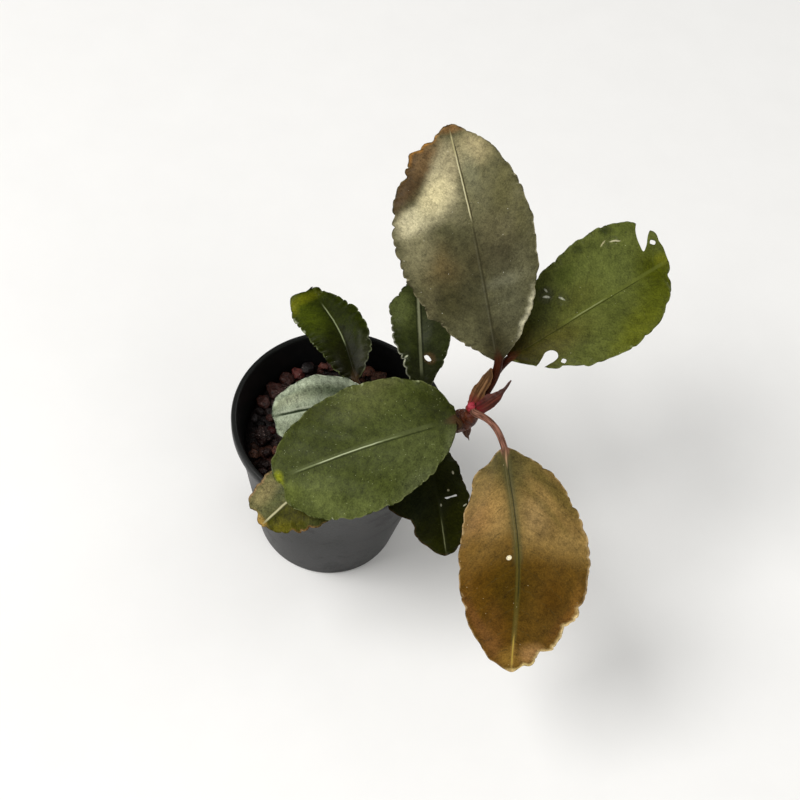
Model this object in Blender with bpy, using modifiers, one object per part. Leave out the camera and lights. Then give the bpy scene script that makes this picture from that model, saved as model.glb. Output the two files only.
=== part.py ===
"""A bucephalandra in a small round pot of coarse grit.

One object a piece: the pot, the grit, the creeping rhizome, nine leaves and three sheaths.
The origin is at the middle of the pot's underside, on the surface that it stands on.
"""

import math

import bmesh
import bpy
import numpy as np
from mathutils import Vector

MM = 0.001
NAME = "bucephalandra"

# The pot, in millimetres
POT_HEIGHT = 46.0
RIM_RADIUS = 26.0
FOOT_RADIUS = 18.0
LIP_WIDTH = 1.4
LIP_HEIGHT = 2.8
WALL = 0.9
FLOOR = 1.2
POT_SIDES = 48
DRAIN_RADIUS = 2.2
DRAIN_CIRCLE = 11.0
DRAIN_COUNT = 4

# The grit
GRIT_LEVEL = 37.6
GRIT_BUMP = 1.3
GRIT_SLOPE = 0.07
GRIT_RINGS = 6
GRIT_SIDES = 32
GAP = 0.3

# The rhizome creeps up and out of the grit: where its middle runs, and how thick it is there
RHIZOME = [
    ((11.0, 6.5, 24.0), 1.6),
    ((11.4, 4.2, 36.0), 2.3),
    ((12.6, -0.4, 46.0), 2.6),
    ((15.6, -3.6, 54.0), 2.5),
    ((20.6, -6.6, 60.5), 2.3),
    ((24.4, -8.4, 64.4), 2.4),
    ((27.0, -9.5, 67.6), 2.5),
    ((28.7, -9.9, 71.0), 2.3),
    ((29.4, -9.6, 73.8), 1.8),
]
RHIZOME_STEPS = 3

# A leaf's sections: how many corners each has, and how many lie along its petiole and its blade
CORNERS = 14
BLADE_MIDDLE = 0.36
BLADE_MARGIN = 0.12
KEEL_HEIGHT = 0.45
KEEL_WIDTH = 0.16

# Each leaf: the points that its petiole runs through from its foot, the petiole's radius, the
# blade's base, middle and tip, the way its upper side faces, and for the left and right half, seen
# from above with the tip pointing away, the half width, its place along the blade and its fullness.
# cup lifts the margins, as a part of the half width, or lets them down where it is negative.
LEAVES = {
    "leaf_top": dict(
        petiole=[(29.8, -9.0, 74.0), (31.0, -7.8, 76.5), (32.4, -6.1, 79.4)],
        radius=0.85,
        blade=[(32.4, -4.1, 85.0), (22.5, 11.5, 104.0), (12.4, 29.4, 117.0)],
        faces=(0.0, -0.62, 0.78),
        left=(17.0, 0.56, 0.83),
        right=(12.4, 0.54, 0.70),
        cup=0.16,
        colour=(0.13, 0.12, 0.07),
        stations=(6, 18),
    ),
    "leaf_right": dict(
        petiole=[(29.85, -7.4, 71.6), (31.5, -5.2, 73.6), (32.8, -3.6, 76.4), (33.4, -2.9, 80.2)],
        radius=0.75,
        blade=[(34.7, -2.6, 84.5), (48.9, 8.8, 91.0), (65.9, 25.9, 93.0)],
        faces=(-0.10, -0.30, 0.95),
        left=(14.5, 0.74, 0.47),
        right=(12.6, 0.51, 0.84),
        cup=0.12,
        colour=(0.09, 0.13, 0.03),
        stations=(6, 18),
    ),
    "leaf_drooping": dict(
        petiole=[(29.65, -11.8, 74.0), (31.2, -13.0, 76.0), (33.1, -14.8, 77.2), (34.9, -17.1, 77.7)],
        radius=0.75,
        blade=[(37.3, -20.4, 76.6), (43.8, -40.0, 67.0), (47.8, -57.0, 47.0)],
        faces=(0.0, -0.45, 0.89),
        left=(15.4, 0.50, 0.66),
        right=(12.4, 0.52, 0.69),
        cup=-0.08,
        colour=(0.17, 0.11, 0.04),
        stations=(8, 18),
    ),
    "leaf_over_pot": dict(
        petiole=[(24.8, -12.0, 67.4), (26.1, -13.4, 70.0), (27.1, -13.6, 72.2)],
        radius=0.75,
        blade=[(26.0, -13.2, 73.2), (8.3, -21.6, 69.0), (-10.3, -29.1, 60.0)],
        faces=(0.05, -0.35, 0.93),
        left=(14.0, 0.57, 0.62),
        right=(13.9, 0.44, 0.36),
        cup=-0.06,
        colour=(0.05, 0.09, 0.03),
        stations=(7, 18),
    ),
    "leaf_silver": dict(
        petiole=[(12.4, -4.1, 53.8), (10.2, -5.1, 57.0)],
        radius=0.6,
        blade=[(7.5, -5.6, 58.4), (-3.8, -8.6, 61.0), (-14.6, -11.6, 58.0)],
        faces=(-0.10, -0.35, 0.93),
        left=(7.8, 0.62, 0.56),
        right=(7.5, 0.47, 0.40),
        cup=0.10,
        colour=(0.16, 0.20, 0.16),
        stations=(4, 12),
    ),
    "leaf_back_left": dict(
        petiole=[(10.0, 0.2, 47.4), (6.2, 2.2, 52.0)],
        radius=0.6,
        blade=[(2.2, 4.4, 56.0), (-3.4, 13.6, 60.0), (-13.0, 25.5, 60.0)],
        faces=(-0.10, -0.30, 0.95),
        left=(7.8, 0.72, 0.54),
        right=(6.6, 0.44, 0.76),
        cup=0.14,
        colour=(0.08, 0.15, 0.03),
        stations=(5, 13),
    ),
    "leaf_back": dict(
        petiole=[(15.2, 0.9, 49.4), (17.8, 1.2, 52.8)],
        radius=0.6,
        blade=[(18.5, 2.4, 56.0), (15.1, 13.5, 64.0), (11.6, 28.0, 69.0)],
        faces=(0.0, -0.35, 0.93),
        left=(6.6, 0.60, 1.10),
        right=(7.8, 0.62, 1.10),
        cup=0.10,
        colour=(0.06, 0.10, 0.05),
        stations=(5, 13),
    ),
    "leaf_front": dict(
        petiole=[(15.9, -5.2, 50.6), (18.8, -7.8, 54.4)],
        radius=0.6,
        blade=[(21.6, -10.4, 55.6), (26.0, -21.8, 53.0), (30.1, -31.2, 46.0)],
        faces=(0.0, -0.30, 0.95),
        left=(6.8, 0.42, 0.32),
        right=(11.5, 0.32, 0.34),
        cup=-0.05,
        colour=(0.05, 0.07, 0.02),
        stations=(5, 13),
    ),
    "leaf_front_left": dict(
        petiole=[(11.6, -3.5, 47.4), (7.8, -12.0, 53.0)],
        radius=0.6,
        blade=[(2.3, -19.3, 55.0), (-5.1, -28.2, 55.0), (-11.9, -34.9, 49.0)],
        faces=(-0.05, -0.20, 0.97),
        left=(9.0, 0.42, 0.49),
        right=(8.2, 0.66, 0.48),
        cup=-0.05,
        colour=(0.20, 0.21, 0.07),
        stations=(7, 12),
    ),
}

# Each sheath: the points along its middle, its half width and half thickness at its widest, where
# that is, and the way it faces
SHEATHS = {
    "sheath_spindle": dict(
        path=[(28.6, -9.6, 74.3), (29.6, -8.0, 78.4), (31.2, -5.9, 83.8)],
        half_width=1.3,
        half_thickness=0.40,
        peak=0.40,
        faces=(-0.3, -0.6, 0.7),
        colour=(0.32, 0.18, 0.08),
    ),
    "sheath_spur": dict(
        path=[(30.1, -10.7, 74.1), (32.4, -10.3, 77.6), (35.8, -7.4, 81.2)],
        half_width=1.9,
        half_thickness=0.45,
        peak=0.32,
        faces=(0.1, -0.6, 0.8),
        colour=(0.22, 0.04, 0.04),
    ),
    "sheath_spike": dict(
        path=[(29.4, -10.9, 66.3), (29.7, -11.1, 64.6), (30.1, -10.8, 62.4)],
        half_width=1.2,
        half_thickness=0.45,
        peak=0.25,
        faces=(0.2, -0.9, 0.3),
        colour=(0.09, 0.04, 0.02),
    ),
}
SHEATH_CORNERS = 10
SHEATH_STATIONS = 9


def clear_scene():
    for old in list(bpy.data.objects):
        bpy.data.objects.remove(old, do_unlink=True)


def make_collection(name):
    made = bpy.data.collections.new(name)
    bpy.context.scene.collection.children.link(made)
    return made


def make_material(name, colour, roughness, metallic=0.0):
    made = bpy.data.materials.new(name)
    made.use_nodes = True
    shader = made.node_tree.nodes["Principled BSDF"]
    shader.inputs["Base Color"].default_value = (*colour, 1.0)
    shader.inputs["Roughness"].default_value = roughness
    shader.inputs["Metallic"].default_value = metallic
    return made


def add_object(name, data, collection, material=None):
    made = bpy.data.objects.new(name, data)
    collection.objects.link(made)
    if material:
        data.materials.append(material)
    return made


def shade_round(obj, degrees=40.0):
    obj.data.shade_smooth()
    obj.data.set_sharp_from_angle(angle=math.radians(degrees))


def as_mesh(obj, collection, material=None):
    """A mesh object in place of a curve or a modified object, with its loose caps welded."""
    bpy.context.view_layer.update()
    seen = obj.evaluated_get(bpy.context.evaluated_depsgraph_get())
    mesh = bpy.data.meshes.new_from_object(seen)
    mesh.materials.clear()
    made = add_object(obj.name + "_mesh", mesh, collection, material)
    made.matrix_world = obj.matrix_world.copy()
    work = bmesh.new()
    work.from_mesh(mesh)
    bmesh.ops.remove_doubles(work, verts=work.verts, dist=0.00001)
    bmesh.ops.recalc_face_normals(work, faces=work.faces)
    work.to_mesh(mesh)
    work.free()
    name = obj.name
    bpy.data.objects.remove(obj, do_unlink=True)
    made.name = name
    return made


def mark_as_cutter(obj):
    obj.hide_render = True
    obj.display_type = "WIRE"


def cut(obj, cutter):
    """Takes the cutter's shape out of the object."""
    boolean = obj.modifiers.new("cut_" + cutter.name, "BOOLEAN")
    boolean.operation = "DIFFERENCE"
    boolean.solver = "EXACT"
    boolean.object = cutter


def turned(name, profile, steps, collection, material=None):
    """A profile of (radius, height) points in millimetres, turned round the upright axis."""
    mesh = bpy.data.meshes.new(name)
    points = [(radius * MM, 0.0, height * MM) for radius, height in profile]
    edges = [(i, i + 1) for i in range(len(points) - 1)]
    mesh.from_pydata(points, edges, [])
    obj = add_object(name, mesh, collection, material)
    screw = obj.modifiers.new("turn", "SCREW")
    screw.axis = "Z"
    screw.steps = steps
    screw.render_steps = steps
    screw.use_merge_vertices = True
    screw.merge_threshold = 0.00001
    return obj


def make_flats_whole(obj):
    """Joins the faces that lie in one plane, so that the underside is a flat disc and no fan."""
    work = bmesh.new()
    work.from_mesh(obj.data)
    bmesh.ops.dissolve_limit(work, angle_limit=0.001, verts=work.verts, edges=work.edges)
    work.to_mesh(obj.data)
    work.free()


def smooth_path(points, steps):
    """A smooth curve through the points, with this many pieces between neighbours."""
    given = [Vector(p) for p in points]
    gaps = [(b - a).length or 1.0 for a, b in zip(given, given[1:])]
    slopes = [(b - a) / gap for a, b, gap in zip(given, given[1:], gaps)]
    headings = [slopes[0]]
    for i in range(1, len(slopes)):
        share = gaps[i] / (gaps[i - 1] + gaps[i])
        headings.append(slopes[i - 1] * share + slopes[i] * (1.0 - share))
    headings.append(slopes[-1])
    path = []
    for i, gap in enumerate(gaps):
        for step in range(steps):
            s = step / steps
            path.append(
                given[i] * (1.0 - 3.0 * s**2 + 2.0 * s**3)
                + given[i + 1] * (3.0 * s**2 - 2.0 * s**3)
                + headings[i] * (gap * s * (1.0 - s) ** 2)
                - headings[i + 1] * (gap * s**2 * (1.0 - s))
            )
    path.append(given[-1])
    return path


def evenly_spaced(path, count):
    """Points at equal distances along the path, both ends included."""
    along = [0.0]
    for a, b in zip(path, path[1:]):
        along.append(along[-1] + (b - a).length)
    wanted = np.linspace(0.0, along[-1], count)
    columns = [np.interp(wanted, along, [p[k] for p in path]) for k in range(3)]
    return [Vector(p) for p in zip(*columns)]


def half_width(t, widest, peak, fullness):
    """How far a margin lies from the midrib, t of the way from the blade's base to its tip."""
    if t <= 0.0 or t >= 1.0:
        return 0.0
    base_part = (t / peak) ** fullness
    tip_part = ((1.0 - t) / (1.0 - peak)) ** (fullness * (1.0 - peak) / peak)
    return widest * base_part * tip_part


def side_and_up(path, index, faces):
    """The direction across a blade, to its right, and the way its upper side looks, at one point."""
    before = path[max(index - 1, 0)]
    after = path[min(index + 1, len(path) - 1)]
    along = (after - before).normalized()
    side = along.cross(Vector(faces)).normalized()
    return side, side.cross(along).normalized()


def loft(name, rings, collection, material):
    """A closed solid through rings of equally many points, which are in millimetres."""
    mesh = bpy.data.meshes.new(name)
    work = bmesh.new()
    corners = [[work.verts.new(p * MM) for p in ring] for ring in rings]
    for low, high in zip(corners, corners[1:]):
        for i in range(len(low)):
            j = (i + 1) % len(low)
            work.faces.new((low[i], low[j], high[j], high[i]))
    work.faces.new(list(reversed(corners[0])))
    work.faces.new(corners[-1])
    bmesh.ops.recalc_face_normals(work, faces=work.faces)
    work.to_mesh(mesh)
    work.free()
    obj = add_object(name, mesh, collection, material)
    shade_round(obj)
    return obj


def leaf_ring(middle, side, up, t, plan):
    """One section of a leaf. t is below 0 on the petiole and runs from 0 to 1 along the blade."""
    on_blade = min(max(t / 0.12, 0.0), 1.0)
    on_blade = on_blade * on_blade * (3.0 - 2.0 * on_blade)
    stalk = plan["radius"] * (1.0 - on_blade)
    ring = []
    for k in range(CORNERS):
        angle = 2.0 * math.pi * (k + 0.5) / CORNERS
        across = math.cos(angle)
        outline = plan["right"] if across > 0.0 else plan["left"]
        reach = math.hypot(stalk, half_width(t, *outline)) + 0.12 * on_blade
        edge = abs(across)
        thick = BLADE_MIDDLE + (BLADE_MARGIN - BLADE_MIDDLE) * edge
        if angle > math.pi:
            thick += KEEL_HEIGHT * (1.0 - max(t, 0.0)) * math.exp(-((across / KEEL_WIDTH) ** 2))
        height = math.sin(angle) * stalk + math.copysign(thick * on_blade, math.sin(angle))
        lift = plan["cup"] * reach * edge * on_blade
        ring.append(middle + side * (across * reach) + up * (height + lift))
    return ring


def leaf_path(plan):
    """Points along the petiole, then along the blade, with each one's place t on the blade."""
    stem_count, blade_count = plan["stations"]
    blade = evenly_spaced(smooth_path(plan["blade"], 16), 8 * blade_count + 1)
    lead = blade[blade_count]
    stem_points = plan["petiole"] + [plan["blade"][0], lead]
    stem = evenly_spaced(smooth_path(stem_points, 16)[: 16 * (len(stem_points) - 2) + 1], stem_count + 1)
    path = stem[:-1]
    places = [index / stem_count - 1.0 for index in range(stem_count)]
    for index in range(blade_count + 1):
        t = (1.0 - math.cos(math.pi * index / blade_count)) / 2.0
        places.append(t)
        path.append(blade[round(t * (len(blade) - 1))])
    return path, places


def make_leaf(name, plan, collection):
    """A petiole that widens into a blade with a keel along its underside, in one piece."""
    path, places = leaf_path(plan)
    rings = []
    for index, middle in enumerate(path):
        side, up = side_and_up(path, index, plan["faces"])
        rings.append(leaf_ring(middle, side, up, places[index], plan))
    material = make_material(name, plan["colour"], 0.35)
    return loft(name, rings, collection, material)


def make_sheath(name, plan, collection):
    """A narrow pointed scale, thickest along its middle."""
    path = evenly_spaced(smooth_path(plan["path"], 12), SHEATH_STATIONS)
    rings = []
    for index, middle in enumerate(path):
        side, up = side_and_up(path, index, plan["faces"])
        t = index / (SHEATH_STATIONS - 1)
        share = half_width(0.12 + 0.86 * t, 1.0, plan["peak"], 0.6)
        ring = []
        for k in range(SHEATH_CORNERS):
            angle = 2.0 * math.pi * k / SHEATH_CORNERS
            sideways = math.cos(angle) * plan["half_width"] * share
            upward = math.sin(angle) * plan["half_thickness"] * (0.3 + 0.7 * share)
            ring.append(middle + side * sideways + up * upward)
        rings.append(ring)
    material = make_material(name, plan["colour"], 0.6)
    return loft(name, rings, collection, material)


def make_pot(parts, cutters):
    """A turned shell with a rolled lip and drain holes."""
    lip_foot = POT_HEIGHT - LIP_HEIGHT
    throat = RIM_RADIUS - LIP_WIDTH
    profile = [
        (0.0, FLOOR),
        (FOOT_RADIUS - WALL - 1.0, FLOOR),
        (FOOT_RADIUS - WALL, FLOOR + 1.0),
        (throat - 0.7, lip_foot),
        (throat, POT_HEIGHT - 0.5),
        (throat + 0.4, POT_HEIGHT),
        (RIM_RADIUS - 0.5, POT_HEIGHT),
        (RIM_RADIUS, POT_HEIGHT - 0.6),
        (RIM_RADIUS - 0.1, lip_foot),
        (throat + 0.1, lip_foot - 0.2),
        (FOOT_RADIUS, 0.8),
        (FOOT_RADIUS - 0.8, 0.0),
        (0.0, 0.0),
    ]
    plastic = make_material("black_plastic", (0.012, 0.013, 0.014), 0.35)
    pot = as_mesh(turned("pot", profile, POT_SIDES, cutters), parts, plastic)
    make_flats_whole(pot)
    shade_round(pot)
    for i in range(DRAIN_COUNT):
        angle = math.pi / 4 + 2.0 * math.pi * i / DRAIN_COUNT
        bpy.ops.mesh.primitive_cylinder_add(vertices=16, radius=DRAIN_RADIUS * MM, depth=6.0 * MM)
        drain = bpy.context.active_object
        drain.name = f"drain_{i + 1}"
        drain.location = (DRAIN_CIRCLE * MM * math.cos(angle), DRAIN_CIRCLE * MM * math.sin(angle), 0.0)
        for home in list(drain.users_collection):
            home.objects.unlink(drain)
        cutters.objects.link(drain)
        mark_as_cutter(drain)
        cut(pot, drain)
    return pot


def grit_height(x, y):
    """How far the grain tips stand over or under the level at a place, in millimetres."""
    coarse = math.sin(x * 0.83 + 1.1) * math.cos(y * 0.71 - 0.4)
    fine = math.sin(x * 1.47 - y * 0.66) * math.cos(y * 1.31 + 0.9)
    return GRIT_BUMP * (0.6 * coarse + 0.4 * fine)


def make_grit(parts, cutters):
    """The filling, heaped a little towards the back, as one solid with a hollow for the rhizome."""
    slope = (RIM_RADIUS - LIP_WIDTH - 0.7 - FOOT_RADIUS + WALL) / (POT_HEIGHT - LIP_HEIGHT - FLOOR - 1.0)
    bottom = FLOOR + GAP
    foot = FOOT_RADIUS - WALL - 1.0 - GAP
    top = FOOT_RADIUS - WALL + slope * (GRIT_LEVEL - FLOOR - 1.0) - GAP - 0.1
    profile = [(top * i / GRIT_RINGS, GRIT_LEVEL) for i in range(GRIT_RINGS + 1)]
    profile += [(foot + 1.0 - 0.1, bottom + 1.2), (foot, bottom), (0.0, bottom)]
    stone = make_material("red_brown_grit", (0.055, 0.02, 0.014), 0.7)
    grit = as_mesh(turned("grit", profile, GRIT_SIDES, cutters), parts, stone)
    for vertex in grit.data.vertices:
        at = vertex.co / MM
        if at.z > GRIT_LEVEL - 1.0:
            vertex.co.z += GRIT_SLOPE * at.y * MM
            if math.hypot(at.x, at.y) < top - 0.5:
                vertex.co.z += grit_height(at.x, at.y) * MM
    shade_round(grit, 20.0)
    hollow = make_rhizome("rhizome_hollow", GAP, cutters)
    mark_as_cutter(hollow)
    cut(grit, hollow)
    return grit


def make_rhizome(name, extra, collection, material=None):
    """The creeping stem: a tube with its own thickness at each point, which swells at the leaf scars."""
    path = smooth_path([place for place, radius in RHIZOME], RHIZOME_STEPS)
    thickness = smooth_path([(radius, 0.0, 0.0) for place, radius in RHIZOME], RHIZOME_STEPS)
    curve = bpy.data.curves.new(name, "CURVE")
    curve.dimensions = "3D"
    curve.bevel_depth = MM
    curve.bevel_resolution = 3
    curve.use_fill_caps = True
    spline = curve.splines.new("POLY")
    spline.points.add(len(path) - 1)
    for point, place, size in zip(spline.points, path, thickness):
        point.co = (*(place * MM), 1.0)
        point.radius = size.x + extra
    tube = as_mesh(add_object(name, curve, collection), collection, material)
    shade_round(tube, 60.0)
    return tube


def build():
    clear_scene()
    parts = make_collection(NAME)
    cutters = make_collection("cutters")
    make_pot(parts, cutters)
    make_grit(parts, cutters)
    bark = make_material("rhizome_bark", (0.16, 0.06, 0.025), 0.6)
    make_rhizome("rhizome", 0.0, parts, bark)
    for name, plan in LEAVES.items():
        make_leaf(name, plan, parts)
    for name, plan in SHEATHS.items():
        make_sheath(name, plan, parts)


build()
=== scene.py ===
# %% [markdown]
# # A bucephalandra in its pot
# A small aquarium plant: nine leaves on one creeping stem, in a round black pot of wet grit. Nothing on
# it is straight or flat, so nearly every piece is a mesh that is worked out point by point with numpy.
# The imported model comes first. It says where every piece lies.

# %% Load the frame
import math
import random

import bmesh
import bpy
import numpy as np
from mathutils import Matrix, Vector, noise


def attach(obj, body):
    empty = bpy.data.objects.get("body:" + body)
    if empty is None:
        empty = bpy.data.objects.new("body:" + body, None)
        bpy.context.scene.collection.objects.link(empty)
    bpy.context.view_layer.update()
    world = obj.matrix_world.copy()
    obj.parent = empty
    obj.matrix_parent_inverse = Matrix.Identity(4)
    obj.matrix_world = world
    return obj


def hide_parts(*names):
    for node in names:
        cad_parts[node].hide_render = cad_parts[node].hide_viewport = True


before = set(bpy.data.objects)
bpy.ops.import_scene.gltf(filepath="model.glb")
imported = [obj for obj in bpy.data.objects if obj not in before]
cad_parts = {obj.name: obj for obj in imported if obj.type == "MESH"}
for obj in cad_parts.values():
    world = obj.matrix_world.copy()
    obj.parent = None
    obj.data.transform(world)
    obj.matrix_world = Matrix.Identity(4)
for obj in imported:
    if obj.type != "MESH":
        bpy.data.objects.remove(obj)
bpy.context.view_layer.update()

MM = 0.001
print("nodes:", ", ".join(sorted(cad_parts)))

# %% [markdown]
# ## The camera
# The pot's round rim looks like an ellipse in the picture. How flat the ellipse is gives the angle that
# the viewer looks down at, here about 55 degrees, and how it is tilted gives the camera's roll. A camera
# looks along its own -Z, so its axes are written down as the columns of its matrix.

# %% Camera
CAMERA_PLACE = (13.209, -190.514, 328.191)
LOOKS_DOWN = math.radians(54.843)
ROLL = math.radians(10.992)

ahead = Vector((0.0, math.cos(LOOKS_DOWN), -math.sin(LOOKS_DOWN)))
level = Vector((1.0, 0.0, 0.0))
upright = level.cross(ahead)
right = level * math.cos(ROLL) + upright * math.sin(ROLL)
top = upright * math.cos(ROLL) - level * math.sin(ROLL)
camera = bpy.data.objects.new("camera", bpy.data.cameras.new("camera"))
bpy.context.scene.collection.objects.link(camera)
turn = Matrix((right, top, -ahead)).transposed()
camera.matrix_world = Matrix.Translation(Vector(CAMERA_PLACE) * MM) @ turn.to_4x4()
camera.data.sensor_width = 36.0
camera.data.lens = 64.1
camera.data.clip_start = 0.01
bpy.context.scene.camera = camera
print("camera looks down", round(math.degrees(LOOKS_DOWN), 1), "degrees")

# %% [markdown]
# ## A small language for finishes
# A finish is a tree of nodes. Written link by link it can't be read, so two small classes help. Value
# holds one output socket, and its operators add Math nodes, so `1 - mask` makes a node and reads as a sum.
# Finish makes a material, and its one method, node, adds any other node.

# %% Value and Finish
class Value:
    """The number, vector or colour that one socket gives."""

    def __init__(self, finish, socket):
        self.finish = finish
        self.socket = socket

    def math(self, operation, *terms, clamp=False):
        inputs = {index: term for index, term in enumerate(terms)}
        return self.finish.node("ShaderNodeMath", {"operation": operation, "use_clamp": clamp}, inputs)

    def __add__(self, other):
        return self.math("ADD", self, other)

    def __sub__(self, other):
        return self.math("SUBTRACT", self, other)

    def __rsub__(self, other):
        return self.math("SUBTRACT", other, self)

    def __mul__(self, other):
        return self.math("MULTIPLY", self, other)

    def __truediv__(self, other):
        return self.math("DIVIDE", self, other)

    def __pow__(self, other):
        return self.math("POWER", self, other)

    __radd__ = __add__
    __rmul__ = __mul__

    def size(self):
        return self.math("ABSOLUTE", self)

    def sine(self):
        return self.math("SINE", self)

    def fraction(self):
        return self.math("FRACT", self)

    def above(self, other):
        return self.math("GREATER_THAN", self, other)

    def at_least(self, other):
        return self.math("MAXIMUM", self, other)

    def fade(self, start, end):
        """0 before start and 1 after end, with a smooth change between. The ends may be swapped."""
        ends = {"Value": self, "From Min": start, "From Max": end}
        return self.finish.node("ShaderNodeMapRange", {"interpolation_type": "SMOOTHSTEP"}, ends)


def find_socket(sockets, key):
    """A socket by its number, its identifier or its name."""
    if isinstance(key, int):
        return sockets[key]
    return next((socket for socket in sockets if socket.identifier == key), None) or sockets[key]


class Finish:
    """A node material with one Principled shader, whose fixed values are given at the start."""

    def __init__(self, name, **fixed):
        self.material = bpy.data.materials.new(name)
        self.material.use_nodes = True
        self.tree = self.material.node_tree
        self.shader = self.tree.nodes["Principled BSDF"]
        for key, value in fixed.items():
            self.shader.inputs[key.replace("_", " ").title().replace("Ior", "IOR")].default_value = value

    def node(self, kind, settings=None, inputs=None, output=0):
        made = self.tree.nodes.new(kind)
        for key, value in (settings or {}).items():
            if key == "stops":
                while len(made.color_ramp.elements) < len(value):
                    made.color_ramp.elements.new(0.5)
                for stop, (place, colour) in zip(made.color_ramp.elements, value):
                    stop.position = place
                    stop.color = (*colour, 1.0)
            else:
                setattr(made, key, value)
        for key, value in (inputs or {}).items():
            self.feed(find_socket(made.inputs, key), value)
        return Value(self, find_socket(made.outputs, output))

    def feed(self, socket, value):
        if isinstance(value, Value):
            self.tree.links.new(value.socket, socket)
        elif socket.type == "RGBA":
            socket.default_value = (*value, 1.0)
        else:
            socket.default_value = value

    def set(self, name, value):
        self.feed(self.shader.inputs[name], value)

    def mix(self, mask, first, second):
        """The first colour where the mask is 0, and the second where it is 1."""
        parts = {"Factor_Float": mask, "A_Color": first, "B_Color": second}
        return self.node("ShaderNodeMix", {"data_type": "RGBA"}, parts, "Result_Color")

    def attribute(self, name, output="Fac"):
        return self.node("ShaderNodeAttribute", {"attribute_name": name}, output=output)

    def noise(self, where, scale, detail=3.0, roughness=0.55, output="Fac"):
        inputs = {"Vector": where, "Scale": scale, "Detail": detail, "Roughness": roughness}
        return self.node("ShaderNodeTexNoise", inputs=inputs, output=output)

    def cells(self, where, scale, output="Distance"):
        return self.node("ShaderNodeTexVoronoi", inputs={"Vector": where, "Scale": scale}, output=output)

    def chance(self, where, scale):
        """A number from 0 to 1 that differs from cell to cell."""
        colour = self.cells(where, scale, "Color")
        return self.node("ShaderNodeSeparateColor", inputs={"Color": colour}, output="Red")

    def bump(self, height, depth, strength=1.0):
        """Raises the surface by depth, in metres, where height is 1."""
        relief = self.node("ShaderNodeBump", inputs={"Height": height, "Distance": depth, "Strength": strength})
        self.set("Normal", relief)


print("finish helpers ready")

# %% [markdown]
# ## Floor and light
# The floor is plain and pale, and bends up far away like a photographer's paper sweep, so that no edge
# shows from low down. One wide soft lamp stands over the plant's left, a weaker one on its right, and the
# pale world fills the shadows. The view transform is Standard, which keeps the leaves' own colours.

# %% Floor sweep
def turned_mesh(name, profile, sides):
    """A closed or open profile of (radius, height) in metres, turned round the upright axis."""
    points = []
    for step in range(sides):
        angle = 2.0 * math.pi * step / sides
        points += [(r * math.cos(angle), r * math.sin(angle), z) for r, z in profile]
    count = len(profile)
    faces = []
    for step in range(sides):
        here, there = step * count, (step + 1) % sides * count
        faces += [(here + i, there + i, there + i + 1, here + i + 1) for i in range(count - 1)]
    mesh = bpy.data.meshes.new(name)
    mesh.from_pydata(points, [], faces)
    work = bmesh.new()
    work.from_mesh(mesh)
    bmesh.ops.remove_doubles(work, verts=work.verts, dist=1e-7)
    bmesh.ops.recalc_face_normals(work, faces=work.faces)
    work.to_mesh(mesh)
    work.free()
    mesh.shade_smooth()
    made = bpy.data.objects.new(name, mesh)
    bpy.context.scene.collection.objects.link(made)
    return made


sweep = [(0.0, 0.0), (0.4, 0.0), (1.0, 0.0), (1.4, 0.02), (1.8, 0.1), (2.1, 0.3), (2.25, 0.6), (2.3, 1.0)]
floor = turned_mesh("floor", sweep, 96)
paper = Finish("pale_paper", roughness=0.9, specular_ior_level=0.1)
paper_grain = paper.noise(paper.node("ShaderNodeTexCoord", output="Object"), 60.0, 4.0)
paper.set("Base Color", paper.mix(paper_grain, (0.86, 0.86, 0.85), (0.9, 0.9, 0.89)))
floor.data.materials.append(paper.material)
print("floor", len(floor.data.polygons), "faces")


# %% Lamps and world
def soft_lamp(name, place, aim, size, power, colour=(1.0, 1.0, 1.0)):
    """A square area lamp that looks at a point. Places are in metres."""
    lamp = bpy.data.objects.new(name, bpy.data.lights.new(name, "AREA"))
    bpy.context.scene.collection.objects.link(lamp)
    lamp.data.size = size
    lamp.data.energy = power
    lamp.data.color = colour
    lamp.location = place
    lamp.rotation_euler = (Vector(aim) - Vector(place)).to_track_quat("-Z", "Y").to_euler()
    return lamp


MIDDLE = (0.02, -0.01, 0.06)
soft_lamp("key", (-0.45, -0.25, 0.85), MIDDLE, 0.45, 7.5, (1.0, 0.985, 0.97))
soft_lamp("fill", (0.7, -0.5, 0.6), MIDDLE, 0.7, 2.0)
soft_lamp("back", (0.75, 0.75, 0.3), MIDDLE, 0.5, 2.0)
world = bpy.data.worlds.new("pale_room")
bpy.context.scene.world = world
world.use_nodes = True
world.node_tree.nodes["Background"].inputs["Color"].default_value = (1.0, 0.99, 0.97, 1.0)
world.node_tree.nodes["Background"].inputs["Strength"].default_value = 0.4
bpy.context.scene.view_settings.view_transform = "Standard"
print("lamps: key, fill, back")

# %% [markdown]
# ## Curves that leaves grow along
# A leaf hangs on a curve through a few measured points: first its stalk, then its blade. The curve has to
# pass through each point with no kink and no overshoot, so the heading at each point is the average of
# the two neighbouring slopes, weighted by how close the neighbours are.

# %% Smooth curves
def smooth_path(points, steps=16):
    """A smooth curve through the points, with this many pieces between neighbours."""
    given = np.array(points, float)
    gaps = np.linalg.norm(np.diff(given, axis=0), axis=1)
    slopes = np.diff(given, axis=0) / gaps[:, None]
    share = (gaps[1:] / (gaps[:-1] + gaps[1:]))[:, None]
    headings = np.vstack([slopes[:1], slopes[:-1] * share + slopes[1:] * (1.0 - share), slopes[-1:]])
    s = (np.arange(steps) / steps)[:, None]
    path = []
    for i, gap in enumerate(gaps):
        path.append(
            given[i] * (1.0 - 3.0 * s**2 + 2.0 * s**3)
            + given[i + 1] * (3.0 * s**2 - 2.0 * s**3)
            + headings[i] * (gap * s * (1.0 - s) ** 2)
            - headings[i + 1] * (gap * s**2 * (1.0 - s))
        )
    return np.vstack(path + [given[-1:]])


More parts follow.
